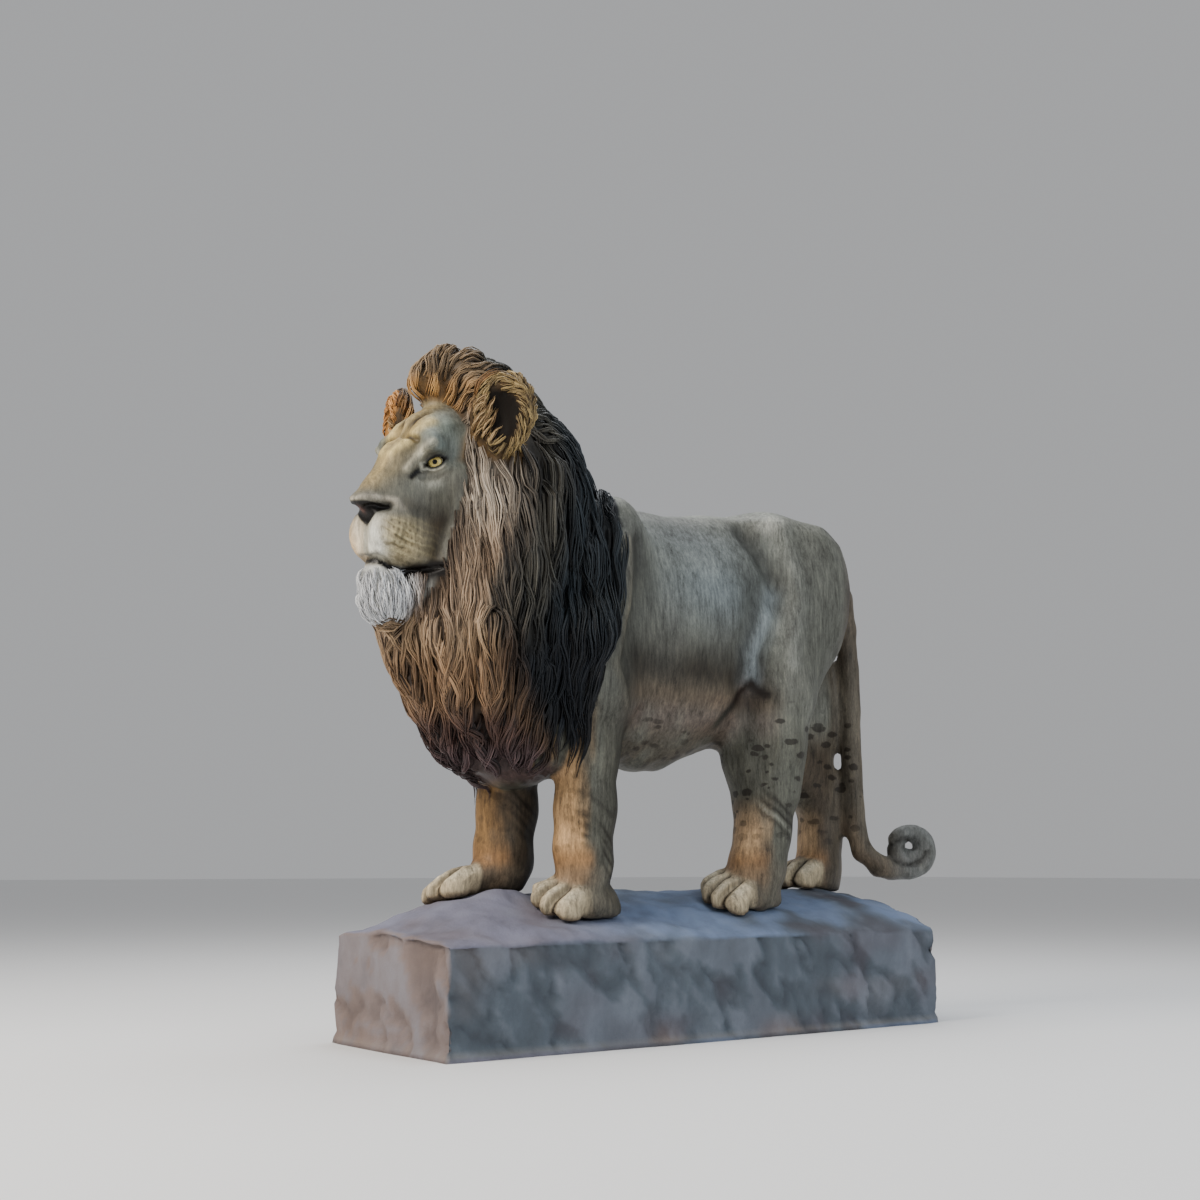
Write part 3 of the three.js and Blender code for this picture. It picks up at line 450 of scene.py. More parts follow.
@dataclass(frozen=True)
class RockPaint:
    """Stone-effect paint: mottled greys brushed along the hewn faces, with painted shade darkening the furrows."""

    def make(self) -> bpy.types.Material:
        """Builds the material. It reads the attributes paint and furrow.

        Returns:
            The material.
        """
        b = Board("rock_stone_paint")
        place = b.place()
        cloud = b.noise(place, 5.5, 6.0, 0.6)
        slanted = b.add("ShaderNodeMapping", {}, {"Vector": place, "Rotation": (0.3, 0.25, 0.0)})
        brushed = b.noise(b.stretched(slanted, (1.0, 1.0, 0.55)), 15.0, 7.0, 0.58)
        grit = b.noise(place, 170.0, 5.0, 0.65)
        tone = (cloud - 0.5) * 0.9 + (brushed - 0.5) * 1.0 + (grit - 0.5) * 0.18
        lit = b.blend((tone * 0.7).clipped(), b.attribute("paint", "Color"), tint("9aa1ae"))
        dark = b.blend((tone * -1.1).clipped(), lit, tint("34343a"))
        # painted shade: the hewn furrows are darkened by the furrow share, where shade falls in them
        crease_shade = b.blend(b.attribute("furrow") * 0.35, dark, tint("2c2b2f"))
        b.feed(
            Base_Color=crease_shade,
            Roughness=0.78 + (grit - 0.5) * 0.3,
            Normal=b.relief(brushed + grit * 0.35, 0.006, 0.8),
            Specular_IOR_Level=0.3,
        )
        return b.material


def finish_piece(piece: bpy.types.Object, material: bpy.types.Material) -> bpy.types.Object:
    """Gives a piece its material and lets it ride on the statue.

    Args:
        piece: The object, at the origin and unturned.
        material: What it is painted with.

    Returns:
        The same object.
    """
    piece.data.materials.clear()
    piece.data.materials.append(material)
    piece.data.shade_smooth()
    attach(piece, "root")
    log.info("%s: %d vertices, %d faces", piece.name, len(piece.data.vertices), len(piece.data.polygons))
    return piece


def add_object(name: str, mesh: bpy.types.Mesh) -> bpy.types.Object:
    """Links a mesh to the scene as an object at the origin.

    Args:
        name: The object's name.
        mesh: Its mesh.

    Returns:
        The new object.
    """
    piece = bpy.data.objects.new(name, mesh)
    bpy.context.scene.collection.objects.link(piece)
    return piece


def baked(piece: bpy.types.Object) -> bpy.types.Object:
    """Applies a piece's modifiers to its mesh.

    Args:
        piece: The object.

    Returns:
        The same object.
    """
    bpy.context.view_layer.update()
    mesh = bpy.data.meshes.new_from_object(piece.evaluated_get(bpy.context.evaluated_depsgraph_get()))
    piece.modifiers.clear()
    old = piece.data
    piece.data = mesh
    bpy.data.meshes.remove(old)
    mesh.name = piece.name
    return piece


def places_of(mesh: bpy.types.Mesh) -> Array:
    """The mesh's vertices, one in each row.

    Args:
        mesh: The mesh.

    Returns:
        Their places in metres.
    """
    flat = np.empty(len(mesh.vertices) * 3, np.float32)
    mesh.vertices.foreach_get("co", flat)
    return flat.reshape(-1, 3).astype(float)


def normals_of(mesh: bpy.types.Mesh) -> Array:
    """The mesh's vertex normals, one in each row.

    Args:
        mesh: The mesh.

    Returns:
        Their directions.
    """
    flat = np.empty(len(mesh.vertices) * 3, np.float32)
    mesh.vertex_normals.foreach_get("vector", flat)
    return flat.reshape(-1, 3).astype(float)


def move_to(mesh: bpy.types.Mesh, places: Array) -> None:
    """Moves the mesh's vertices to these places."""
    mesh.vertices.foreach_set("co", places.astype(np.float32).ravel())
    mesh.update()


def paint_on(mesh: bpy.types.Mesh, name: str, values: Array) -> None:
    """Stores a colour or a number for each vertex under a name that materials read.

    Args:
        mesh: The mesh.
        name: The attribute's name.
        values: One row for each vertex for a colour, or one number.
    """
    if values.ndim == 2:
        layer = mesh.attributes.new(name, "FLOAT_COLOR", "POINT")
        rows = np.concatenate([values, np.ones((len(values), 1))], axis=1)
        layer.data.foreach_set("color", rows.astype(np.float32).ravel())
    else:
        layer = mesh.attributes.new(name, "FLOAT", "POINT")
        layer.data.foreach_set("value", values.astype(np.float32))


def relaxed(mesh: bpy.types.Mesh, places: Array, rounds: int, hold: Optional[Array] = None) -> Array:
    """Smooths places over the mesh's edges without shrinking the form.

    Args:
        mesh: Gives the edges.
        places: The vertices' places.
        rounds: How many times to go out and back.
        hold: For each vertex, 1 to keep it and 0 to let it move.

    Returns:
        The smoothed places.
    """
    ends = np.empty(len(mesh.edges) * 2, np.int32)
    mesh.edges.foreach_get("vertices", ends)
    a, b = ends.reshape(-1, 2).T
    count = np.bincount(ends, minlength=len(places)).astype(float)[:, None]
    free = 1.0 if hold is None else (1.0 - hold)[:, None]
    for _ in range(rounds):
        for push in (0.55, -0.57):
            total = np.zeros_like(places)
            for axis in range(3):
                total[:, axis] = np.bincount(a, places[b, axis], len(places))
                total[:, axis] += np.bincount(b, places[a, axis], len(places))
            places = places + push * free * (total / np.maximum(count, 1.0) - places)
    return places


def merged_copy(node: bpy.types.Object, name: str) -> bpy.types.Object:
    """A copy of a CAD node with its doubled vertices merged.

    Args:
        node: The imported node.
        name: The copy's name.

    Returns:
        The copy.
    """
    form = bmesh.new()
    form.from_mesh(node.data)
    bmesh.ops.remove_doubles(form, verts=form.verts, dist=1e-5)
    mesh = bpy.data.meshes.new(name)
    form.to_mesh(mesh)
    form.free()
    return add_object(name, mesh)


def refine(mesh: bpy.types.Mesh, chosen: Callable[[Array], Array]) -> None:
    """Halves the edges of a mesh where a test on vertex places says so.

    Args:
        mesh: The mesh.
        chosen: Takes the places in metres and says which to refine.
    """
    form = bmesh.new()
    form.from_mesh(mesh)
    picked = chosen(np.array([v.co for v in form.verts]))
    edges = [e for e in form.edges if picked[e.verts[0].index] and picked[e.verts[1].index]]
    bmesh.ops.subdivide_edges(form, edges=edges, cuts=1, use_grid_fill=True, smooth=0.0)
    form.to_mesh(mesh)
    form.free()
    mesh.update()


@dataclass
class Strands:
    """Tapered closed strands of hair, gathered up and then made into one mesh."""

    name: str
    paths: list[Array] = field(default_factory=list)
    radii: list[Array] = field(default_factory=list)
    colours: list[Array] = field(default_factory=list)

    def add(self, path: Array, radius: Array, colour: Array) -> None:
        """Keeps one strand: its places in metres, and a radius and a colour at each.

        Args:
            path: Its places, in metres.
            radius: Its radius at each place.
            colour: Its colour at each place.
        """
        self.paths.append(path)
        self.radii.append(radius)
        self.colours.append(colour)

    def build(self) -> bpy.types.Object:
        """Makes the strands into one mesh object with the attribute paint.

        Returns:
            The object.
        """
        curve = bpy.data.curves.new(self.name, "CURVE")
        curve.dimensions = "3D"
        curve.bevel_depth = 1.0
        curve.bevel_resolution = 0
        curve.use_fill_caps = False
        for path, radius in zip(self.paths, self.radii):
            spline = curve.splines.new("POLY")
            spline.points.add(len(path) - 1)
            rows = np.concatenate([path, np.ones((len(path), 1))], axis=1)
            spline.points.foreach_set("co", rows.astype(np.float32).ravel())
            spline.points.foreach_set("radius", radius.astype(np.float32))
        wires = add_object(self.name + "_lines", curve)
        bpy.context.view_layer.update()
        mesh = bpy.data.meshes.new_from_object(wires.evaluated_get(bpy.context.evaluated_depsgraph_get()))
        bpy.data.objects.remove(wires)
        bpy.data.curves.remove(curve)
        mesh.name = self.name
        colours = np.concatenate(self.colours)
        sides = len(mesh.vertices) // len(colours)
        paint_on(mesh, "paint", np.repeat(colours, sides, axis=0))
        form = bmesh.new()
        form.from_mesh(mesh)
        bmesh.ops.holes_fill(form, edges=[e for e in form.edges if e.is_boundary], sides=sides)
        form.to_mesh(mesh)
        form.free()
        return add_object(self.name, mesh)


# The rock


@dataclass
class Rock:
    """The base: a block with a mounded top and slanting creases hewn into its sides."""

    cell: float = 0.016
    furrow_depth: float = 0.016
    lump_depth: float = 0.005
    chip_depth: float = 0.006
    foot_height: float = 0.03
    rim_width: float = 0.03

    def build(self) -> bpy.types.Object:
        """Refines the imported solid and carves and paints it.

        Returns:
            The finished piece.
        """
        piece = merged_copy(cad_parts["rock_base"], "rock")
        form = bmesh.new()
        form.from_mesh(piece.data)
        for _ in range(3):
            long = [e for e in form.edges if e.calc_length() > 1.5 * self.cell]
            bmesh.ops.subdivide_edges(form, edges=long, cuts=1, use_grid_fill=True)
            bmesh.ops.triangulate(form, faces=form.faces)
        form.to_mesh(piece.data)
        form.free()
        mesh = piece.data
        places = places_of(mesh)
        low, high = (np.array(v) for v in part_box("rock_base"))
        underside = 1.0 - ramp(0.0, self.foot_height, places[:, 2])
        rim = np.minimum(np.abs(places[:, 0] - low[0]), np.abs(places[:, 0] - high[0]))
        rim = np.minimum(rim, np.minimum(np.abs(places[:, 1] - low[1]), np.abs(places[:, 1] - high[1])))
        places = relaxed(mesh, places, 2, underside)
        normals = normals_of(mesh)
        upright = 1.0 - ramp(0.35, 0.75, np.abs(normals[:, 2]))
        slanted = np.stack([places[:, 0] + 0.5 * places[:, 2], places[:, 1] + 0.5 * places[:, 2], places[:, 2]], 1)
        furrows = field_noise(slanted, (0.085, 0.085, 0.2), 3) + 0.3 * field_noise(slanted, (0.03, 0.03, 0.09), 4)
        lumps = field_noise(places, 0.09, 5) + 0.5 * field_noise(places, 0.035, 6)
        crease = np.clip(1.0 - np.abs(furrows) / 0.34, 0.0, 1.0)
        cut = (crease**1.3 + 0.5 * np.clip(furrows - 0.3, 0.0, 1.0)) * (0.35 + 0.65 * upright)
        inward = self.furrow_depth * cut + self.lump_depth * (lumps + 1.2) * (1.0 - underside)
        edge = ramp(self.rim_width, 0.0, rim) * ramp(0.22, 0.27, places[:, 2])
        inward += self.chip_depth * edge * (1.0 + field_noise(places, 0.05, 8))
        move_to(mesh, places - normals * inward[:, None] * (1.0 - underside)[:, None])
        self._paint(mesh, cut, upright)
        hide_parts("rock_base")
        return finish_piece(piece, RockPaint().make())

    def _paint(self, mesh: bpy.types.Mesh, cut: Array, upright: Array) -> None:
        """Lays the base colours: warm at the front end, partly as painted warm light, blue-grey on the long sides,
        lilac on top, and painted light on the faces between the creases.

        Args:
            mesh: The rock.
            cut: How deep each vertex lies in a crease.
            upright: 1 on the sides and 0 on top.
        """
        places = places_of(mesh)
        normals = normals_of(mesh)
        cloud = field_noise(places, 0.16, 11) + 0.5 * field_noise(places, 0.06, 12)
        colour = plain(tint("525b64"), len(places))
        colour = mix(colour, tint("4c474e"), ramp(0.0, 0.9, cloud) * 0.7)
        colour = mix(colour, tint("7182a0"), (1.0 - upright) * ramp(-0.6, 0.5, -cloud) * 0.85)
        colour = mix(colour, tint("7c7580"), (1.0 - upright) * ramp(-0.1, -0.6, places[:, 1]) * 0.7)
        # the front end's faces, picked by their facing, are painted warm and lighter: partly the stone paint's
        # colour and partly painted warm light falling from ahead
        front = ramp(-0.4, -0.85, normals[:, 1])
        colour = mix(colour, tint("7f706b"), front * 0.9)
        warm = upright * ramp(0.2, 0.9, field_noise(places, (0.2, 0.2, 0.12), 14))
        colour = mix(colour, tint("7d6a60"), warm * 0.6)
        lip = ramp(0.02, 0.0, places[:, 2]) * upright
        colour = mix(colour, tint("a39a8e"), lip * 0.8)
        # painted light: the upright faces between the creases are painted a lighter grey
        colour = mix(colour, tint("777c88"), ramp(0.1, 0.0, cut) * upright * 0.35)
        paint_on(mesh, "paint", colour)
        # the furrow share also carries the painted shade that the material lays in the creases
        paint_on(mesh, "furrow", np.clip(cut * cut, 0.0, 1.0))


# The lion's skin


@dataclass
class Skin:
    """The whole figure's surface under the hair: short fur, face and paws."""

    cell: float = 0.0104
    face_from: float = 0.4
    fine_from: float = 0.55
    foot_from: float = 0.6
    inset: float = 0.2

    def build(self) -> bpy.types.Object:
        """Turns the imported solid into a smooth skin, then carves and paints it.

        Returns:
            The finished piece.
        """
        piece = merged_copy(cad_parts["lion"], "lion_skin")
        remesh = piece.modifiers.new("even", "REMESH")
        remesh.mode = "VOXEL"
        remesh.voxel_size = self.cell
        baked(piece)
        mesh = piece.data
        places = places_of(mesh)
        figure = FIGURE.from_world(places)
        feet = ramp(150.0, 70.0, figure[:, 2])
        hold = np.clip(0.6 * self._face_share(figure) + 0.75 * feet, 0.0, 0.9)
        places = relaxed(mesh, places, 9, hold)
        move_to(mesh, relaxed(mesh, places, 2))
        refine(mesh, lambda p: self._face_share(FIGURE.from_world(p)) > self.face_from)
        refine(mesh, lambda p: self._fine_share(FIGURE.from_world(p)) > self.fine_from)
        refine(mesh, lambda p: self._foot_share(FIGURE.from_world(p)) > self.foot_from)
        move_to(mesh, relaxed(mesh, places_of(mesh), 3))
        self._carve(mesh)
        self._paint(mesh)
        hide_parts("lion")
        return finish_piece(piece, FurPaint().make())

    @staticmethod
    def _face_share(figure: Array) -> Array:
        """1 on the face and 0 on the rest of the figure.

        Args:
            figure: Places in the figure's frame.

        Returns:
            One share for each place.
        """
        h = FIGURE.to_head(figure)
        front = ramp(-735.0, -775.0, h[:, 1]) * ramp(730.0, 760.0, h[:, 2])
        return front * ramp(170.0, 140.0, np.abs(h[:, 0])) * ramp(1330.0, 1300.0, h[:, 2])

    @staticmethod
    def _fine_share(figure: Array) -> Array:
        """1 round the eyes, the nose and the lips, where the carving is finest.

        Args:
            figure: Places in the figure's frame.

        Returns:
            One share for each place.
        """
        h = FIGURE.to_head(figure)
        h[:, 0] = np.abs(h[:, 0])
        eyes = near_spot(h, (90.0, -845.0, 1156.0), (40.0, 45.0, 36.0))
        nose = near_spot(h, (30.0, -1000.0, 1008.0), (60.0, 60.0, 42.0))
        pads = near_spot(h, (70.0, -930.0, 950.0), (50.0, 60.0, 50.0))
        return np.maximum(np.maximum(eyes, nose), pads) * 1.4

    @staticmethod
    def _foot_share(figure: Array) -> Array:
        """1 on the toes, 0 above and behind them.

        Args:
            figure: Places in the figure's frame.

        Returns:
            One share for each place.
        """
        share = np.zeros(len(figure))
        for paw in PAWS:
            share = np.maximum(share, paw.toes_share(figure))
        return share

    def _carve(self, mesh: bpy.types.Mesh) -> None:
        """Presses the finer forms of the face, the trunk and the paws into the skin.

        Args:
            mesh: The skin.
        """
        places = places_of(mesh)
        normals = normals_of(mesh)
        figure = FIGURE.from_world(places)
        out = FaceForms().relief(FIGURE.to_head(figure)) + BodyForms().relief(figure)
        for paw in PAWS:
            out += paw.relief(figure)
        low, high = (np.array(corner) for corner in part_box("lion"))
        inset = self.inset * MM
        move_to(mesh, np.clip(places + normals * (out * MM)[:, None], low + inset, high - inset))

    def _paint(self, mesh: bpy.types.Mesh) -> None:
        """Lays the base colours and the shares that the fur's material reads.

        Args:
            mesh: The skin.
        """
        figure = FIGURE.from_world(places_of(mesh))
        coat = Coat(figure, normals_of(mesh))
        coat.body()
        coat.legs()
        coat.tail()
        coat.under_mane()
        coat.face()
        coat.ears()
        paint_on(mesh, "paint", np.clip(coat.colour, 0.0, 1.0))
        paint_on(mesh, "spots", coat.spots)
        paint_on(mesh, "fur", coat.fur)
        paint_on(mesh, "gloss", coat.gloss)


class Ground:
    """The rock's top surface, to stand the paws on."""

    def __init__(self) -> None:
        """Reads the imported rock."""
        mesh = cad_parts["rock_base"].data
        self.tree = BVHTree.FromPolygons([v.co for v in mesh.vertices], [p.vertices for p in mesh.polygons])

    def heights(self, figure: Array) -> Array:
        """The rock's height under each place, in the figure's frame.

        Args:
            figure: Places in the figure's frame.

        Returns:
            One height for each place.
        """
        down = Vector((0.0, 0.0, -1.0))
        heights = []
        for x, y, _ in FIGURE.to_world(figure):
            spot = self.tree.ray_cast(Vector((x, y, 1.0)), down)[0]
            heights.append(spot.z if spot is not None else 0.0)
        return np.array(heights) / MM - FIGURE.lift


GROUND = Ground()


@dataclass(frozen=True)
class Paw:
    """One paw's frame and toes, in the figure's millimetres."""

    name: str
    middle: tuple[float, float]
    length: float
    turn: float
    toe_places: tuple[float, ...] = (-55.0, -19.0, 19.0, 55.0)

    def own(self, figure: Array) -> Array:
        """Places across and along from the paw's middle, toes at negative along, and up from the rock.

        Args:
            figure: Places in the figure's frame.

        Returns:
            One place in each row.
        """
        c, s = math.cos(math.radians(self.turn)), math.sin(math.radians(self.turn))
        dx, dy = figure[:, 0] - self.middle[0], figure[:, 1] - self.middle[1]
        across, along = c * dx + s * dy, -s * dx + c * dy
        near = (np.abs(across) < 130.0) & (np.abs(along) < 0.75 * self.length) & (figure[:, 2] < 220.0)
        up = np.full(len(figure), 999.0)
        up[near] = figure[near, 2] - GROUND.heights(figure[near])
        return np.stack([across, along, up], 1)

    def toes_share(self, figure: Array) -> Array:
        """1 on the toes, 0 away from them.

        Args:
            figure: Places in the figure's frame.

        Returns:
            One share for each place.
        """
        a, b, c = self.own(figure).T
        share = ramp(0.02 * self.length, -0.1 * self.length, b) * ramp(115.0, 90.0, c)
        return share * ramp(110.0, 92.0, np.abs(a)) * ramp(-0.62 * self.length, -0.55 * self.length, b)

    def gaps(self, figure: Array) -> Array:
        """1 in the clefts between the toes.

        Args:
            figure: Places in the figure's frame.

        Returns:
            One share for each place.
        """
        own = self.own(figure)
        cleft = np.zeros(len(figure))
        for left, right in zip(self.toe_places, self.toe_places[1:]):
            middle = (left + right) / 2
            aside = own[:, 0] - middle * (0.9 - 0.5 * own[:, 1] / self.length)
            cleft = np.maximum(cleft, np.exp(-((aside / 7.0) ** 2)))
        return cleft * ramp(-0.02 * self.length, -0.16 * self.length, own[:, 1]) * ramp(92.0, 70.0, own[:, 2])

    def relief(self, figure: Array) -> Array:
        """Clefts between the toes and round knuckles on them, in millimetres outwards.

        Args:
            figure: Places in the figure's frame.

        Returns:
            One height for each place.
        """
        own = self.own(figure)
        share = self.toes_share(figure)
        out = -14.0 * self.gaps(figure)
        for place in self.toe_places:
            toe = ((place, -0.14 * self.length, 70.0), (place * 1.08, -0.34 * self.length, 50.0))
            out += 6.0 * near_line(own, toe, 16.0)
        return out * share


PAWS = (
    Paw("front_left", (112.0, -366.0), 285.0, 0.0),
    Paw("front_right", (-130.0, -540.0), 300.0, -10.0),
    Paw("hind_left", (110.0, 220.0), 285.0, 0.0),
    Paw("hind_right", (-112.0, 690.0), 280.0, 4.0),
)


@dataclass(frozen=True)
class EyeOpening:
    """The almond between the lids of the left eye, in the head's frame."""

    inner: tuple[float, float, float] = (79.0, -862.0, 1143.0)
    outer: tuple[float, float, float] = (98.0, -820.0, 1164.0)
    outward: tuple[float, float, float] = (0.8, -0.58, 0.1)
    above: float = 12.0
    below: float = 10.5

    def edge(self, side: Array) -> Array:
        """How far inside the lids' edge each place lies, in millimetres, and negative outside.

        Args:
            side: Places in the head's frame, all on its left.

        Returns:
            One distance for each place.
        """
        start, end = np.array(self.inner), np.array(self.outer)
        half = np.linalg.norm(end - start) / 2
        along = (end - start) / (2 * half)
        out = np.array(self.outward)
        out = unit(out - along * (out @ along))
        up = np.cross(out, along)
        rel = side - (start + end) / 2
        a, w = rel @ along, rel @ up
        arch = np.clip(1.0 - (a / half) ** 2, 0.0, 1.0) ** 0.75
        edge = np.minimum(self.above * arch - w, self.below * arch + w)
        edge = np.minimum(edge, (half - np.abs(a)) * 0.6)
        return np.where(np.abs(rel @ out) < 34.0, edge, -99.0)


@dataclass(frozen=True)
class FaceForms:
    """The carved forms of the face, in the head's own frame, alike on both sides."""

    opening: EyeOpening = EyeOpening()
    mouth_places: tuple[float, ...] = (-990.0, -968.0, -954.0, -930.0, -901.0, -865.0, -843.0, -825.0)
    mouth_heights: tuple[float, ...] = (893.0, 890.0, 884.0, 870.0, 861.0, 866.0, 875.0, 882.0)
    nostril: Line = ((22.0, -1004.0, 1008.0), (42.0, -990.0, 1014.0), (60.0, -962.0, 1021.0))
    wing: Line = ((8.0, -1024.0, 1034.0), (44.0, -990.0, 1040.0), (70.0, -946.0, 1036.0), (76.0, -930.0, 1016.0))
    philtrum: Line = ((0.0, -992.0, 976.0), (0.0, -976.0, 890.0))
    tear: Line = ((84.0, -858.0, 1144.0), (75.0, -892.0, 1119.0), (72.0, -904.0, 1104.0))
    brow: Line = ((66.0, -912.0, 1124.0), (70.0, -892.0, 1152.0), (85.0, -878.0, 1182.0), (110.0, -870.0, 1200.0))
    furrow: Line = ((62.0, -886.0, 1208.0), (14.0, -892.0, 1222.0), (16.0, -880.0, 1247.0), (35.0, -831.0, 1296.0))
    ridge: Line = ((22.0, -932.0, 1170.0), (33.0, -909.0, 1195.0), (45.0, -886.0, 1219.0), (68.0, -845.0, 1262.0))
    under_eye: Line = ((84.0, -880.0, 1106.0), (106.0, -846.0, 1112.0), (122.0, -812.0, 1134.0))
    cheek_line: Line = ((92.0, -930.0, 1030.0), (112.0, -880.0, 1010.0), (134.0, -832.0, 960.0))

    def lips(self, side: Array, reach: float) -> Array:
        """1 between the lips, falling off over a reach above and below them.

        Args:
            side: Places in the head's frame, all on its left.
            reach: In millimetres.

        Returns:
            One share for each place.
        """
        line = np.interp(side[:, 1], self.mouth_places, self.mouth_heights)
        along = ramp(-812.0, -834.0, side[:, 1]) * ramp(150.0, 130.0, side[:, 0])
        return np.exp(-(((side[:, 2] - line) / reach) ** 2)) * along

    def relief(self, head: Array) -> Array:
        """How far each place on the head moves out, in millimetres.

        Args:
            head: Places in the head's frame.

        Returns:
            One distance for each place.
        """
        side = head.copy()
        side[:, 0] = np.abs(side[:, 0])
        out = -11.0 * self.lips(side, 5.5)
        out -= 8.0 * near_line(side, self.philtrum, 5.0)
        out -= 16.0 * near_line(side, self.nostril, 9.0)
        out += 5.0 * near_line(side, self.wing, 8.0)
        out -= 5.0 * near_line(side, self.tear, 5.0)
        out += 9.0 * near_line(side, self.brow, 9.0)
        out -= 10.0 * near_line(side, self.furrow, 10.0)
        out += 6.0 * near_line(side, self.ridge, 14.0)
        out -= 6.0 * near_spot(side, (90.0, -846.0, 1206.0), (26.0, 30.0, 15.0))
        out -= 4.0 * near_line(side, self.under_eye, 7.0)
        out += 4.0 * near_spot(side, (100.0, -850.0, 1088.0), (26.0, 26.0, 14.0))
        out -= 5.0 * near_line(side, self.cheek_line, 13.0)
        edge = self.opening.edge(side)
        out += 4.0 * np.exp(-(((edge + 3.5) / 3.2) ** 2))
        out -= 17.0 * ramp(-0.8, 2.4, edge)
        for spot in whisker_spots(side):
            out -= 1.6 * spot
        return out


def whisker_spots(side: Array) -> Iterator[Array]:
    """Yields how near each place is to one whisker's root after another on the muzzle's side.

    Args:
        side: Places in the head's frame, all on its left.

    Yields:
        One nearness for each place.
    """
    for row in range(4):
        for i in range(6):
            y = -962.0 + 15.0 * i + 4.0 * row + 4.0 * math.sin(7.1 * i + 3.3 * row)
            z = 984.0 - 17.0 * row - 2.5 * i + 3.0 * math.sin(4.7 * i + 5.9 * row)
            away = np.hypot(side[:, 1] - y, side[:, 2] - z)
            yield np.exp(-((away / 3.4) ** 2)) * ramp(50.0, 60.0, side[:, 0])


@dataclass(frozen=True)
class BodyForms:
    """Muscles and folds of the trunk and legs, in the figure's frame, alike on both sides."""

    groove: Line = ((96.0, 255.0, 1092.0), (130.0, 290.0, 1020.0), (161.0, 322.0, 946.0), (170.0, 312.0, 880.0))
    fold: Line = ((168.0, 306.0, 900.0), (170.0, 262.0, 800.0), (166.0, 218.0, 720.0), (150.0, 222.0, 648.0))
    haunch: Line = ((126.0, 380.0, 1112.0), (165.0, 382.0, 1000.0), (188.0, 395.0, 880.0), (206.0, 350.0, 700.0))
    blade: Line = ((188.0, -258.0, 1000.0), (208.0, -268.0, 811.0), (228.0, -330.0, 650.0), (215.0, -282.0, 548.0))
    hock: Line = ((176.0, 352.0, 430.0), (172.0, 338.0, 250.0))
    hip: tuple[float, float, float] = (112.0, 362.0, 1122.0)
    curl_middle: tuple[float, float] = (921.0, 165.0)

    def spiral(self, figure: Array) -> Array:
        """1 in the groove between the turns of the tail's curl.

        Args:
            figure: Places in the figure's frame.

        Returns:
            One share for each place.
        """
        dy, dz = figure[:, 1] - self.curl_middle[0], figure[:, 2] - self.curl_middle[1]
        turn = (np.arctan2(dz, dy) / (2.0 * math.pi)) % 1.0
        groove = bump(np.hypot(dy, dz), 30.0 + 20.0 * turn, 7.0)
        return groove * ramp(840.0, 850.0, figure[:, 1])

    def relief(self, figure: Array) -> Array:
        """How far each place moves out, in millimetres.

        Args:
            figure: Places in the figure's frame.

        Returns:
            One distance for each place.
        """
        side = figure.copy()
        side[:, 0] = np.abs(side[:, 0])
        out = -24.0 * near_line(side, self.groove, 34.0)
        out += 9.0 * near_line(side, self.fold, 32.0)
        out -= 9.0 * self.spiral(figure)
        out -= 16.0 * near_spot(side, (150.0, 215.0, 600.0), (60.0, 34.0, 44.0))
        out -= 12.0 * near_line(side + np.array([0.0, 62.0, 0.0]), self.fold, 34.0)
        out -= 9.0 * near_line(side - np.array([0.0, 52.0, 0.0]), self.fold, 22.0)
        out += 14.0 * near_line(side, self.haunch, 36.0)
        out += 8.0 * near_spot(side, self.hip, (46.0, 60.0, 40.0))
        out += 9.0 * near_line(side, self.blade, 17.0)
        out -= 10.0 * near_line(side - np.array([0.0, 38.0, 0.0]), self.blade, 22.0)
        out -= 9.0 * near_line(side, self.hock, 15.0)
        x, y, z = side.T
        ribs = np.sin((y + 0.22 * z) / 12.0) * bump(y, -30.0, 150.0) * bump(z, 780.0, 150.0)
        out += 1.8 * ribs * ramp(100.0, 150.0, x)
        legs = ramp(560.0, 460.0, z) * ramp(70.0, 120.0, z)
        out += 6.0 * field_noise(figure, (52.0, 52.0, 150.0), 51) * legs
        out += 5.0 * near_spot(side, (196.0, -285.0, 505.0), (40.0, 34.0, 50.0))
        return out + 2.5 * field_noise(figure, (110.0, 110.0, 190.0), 52) * ramp(560.0, 700.0, z)


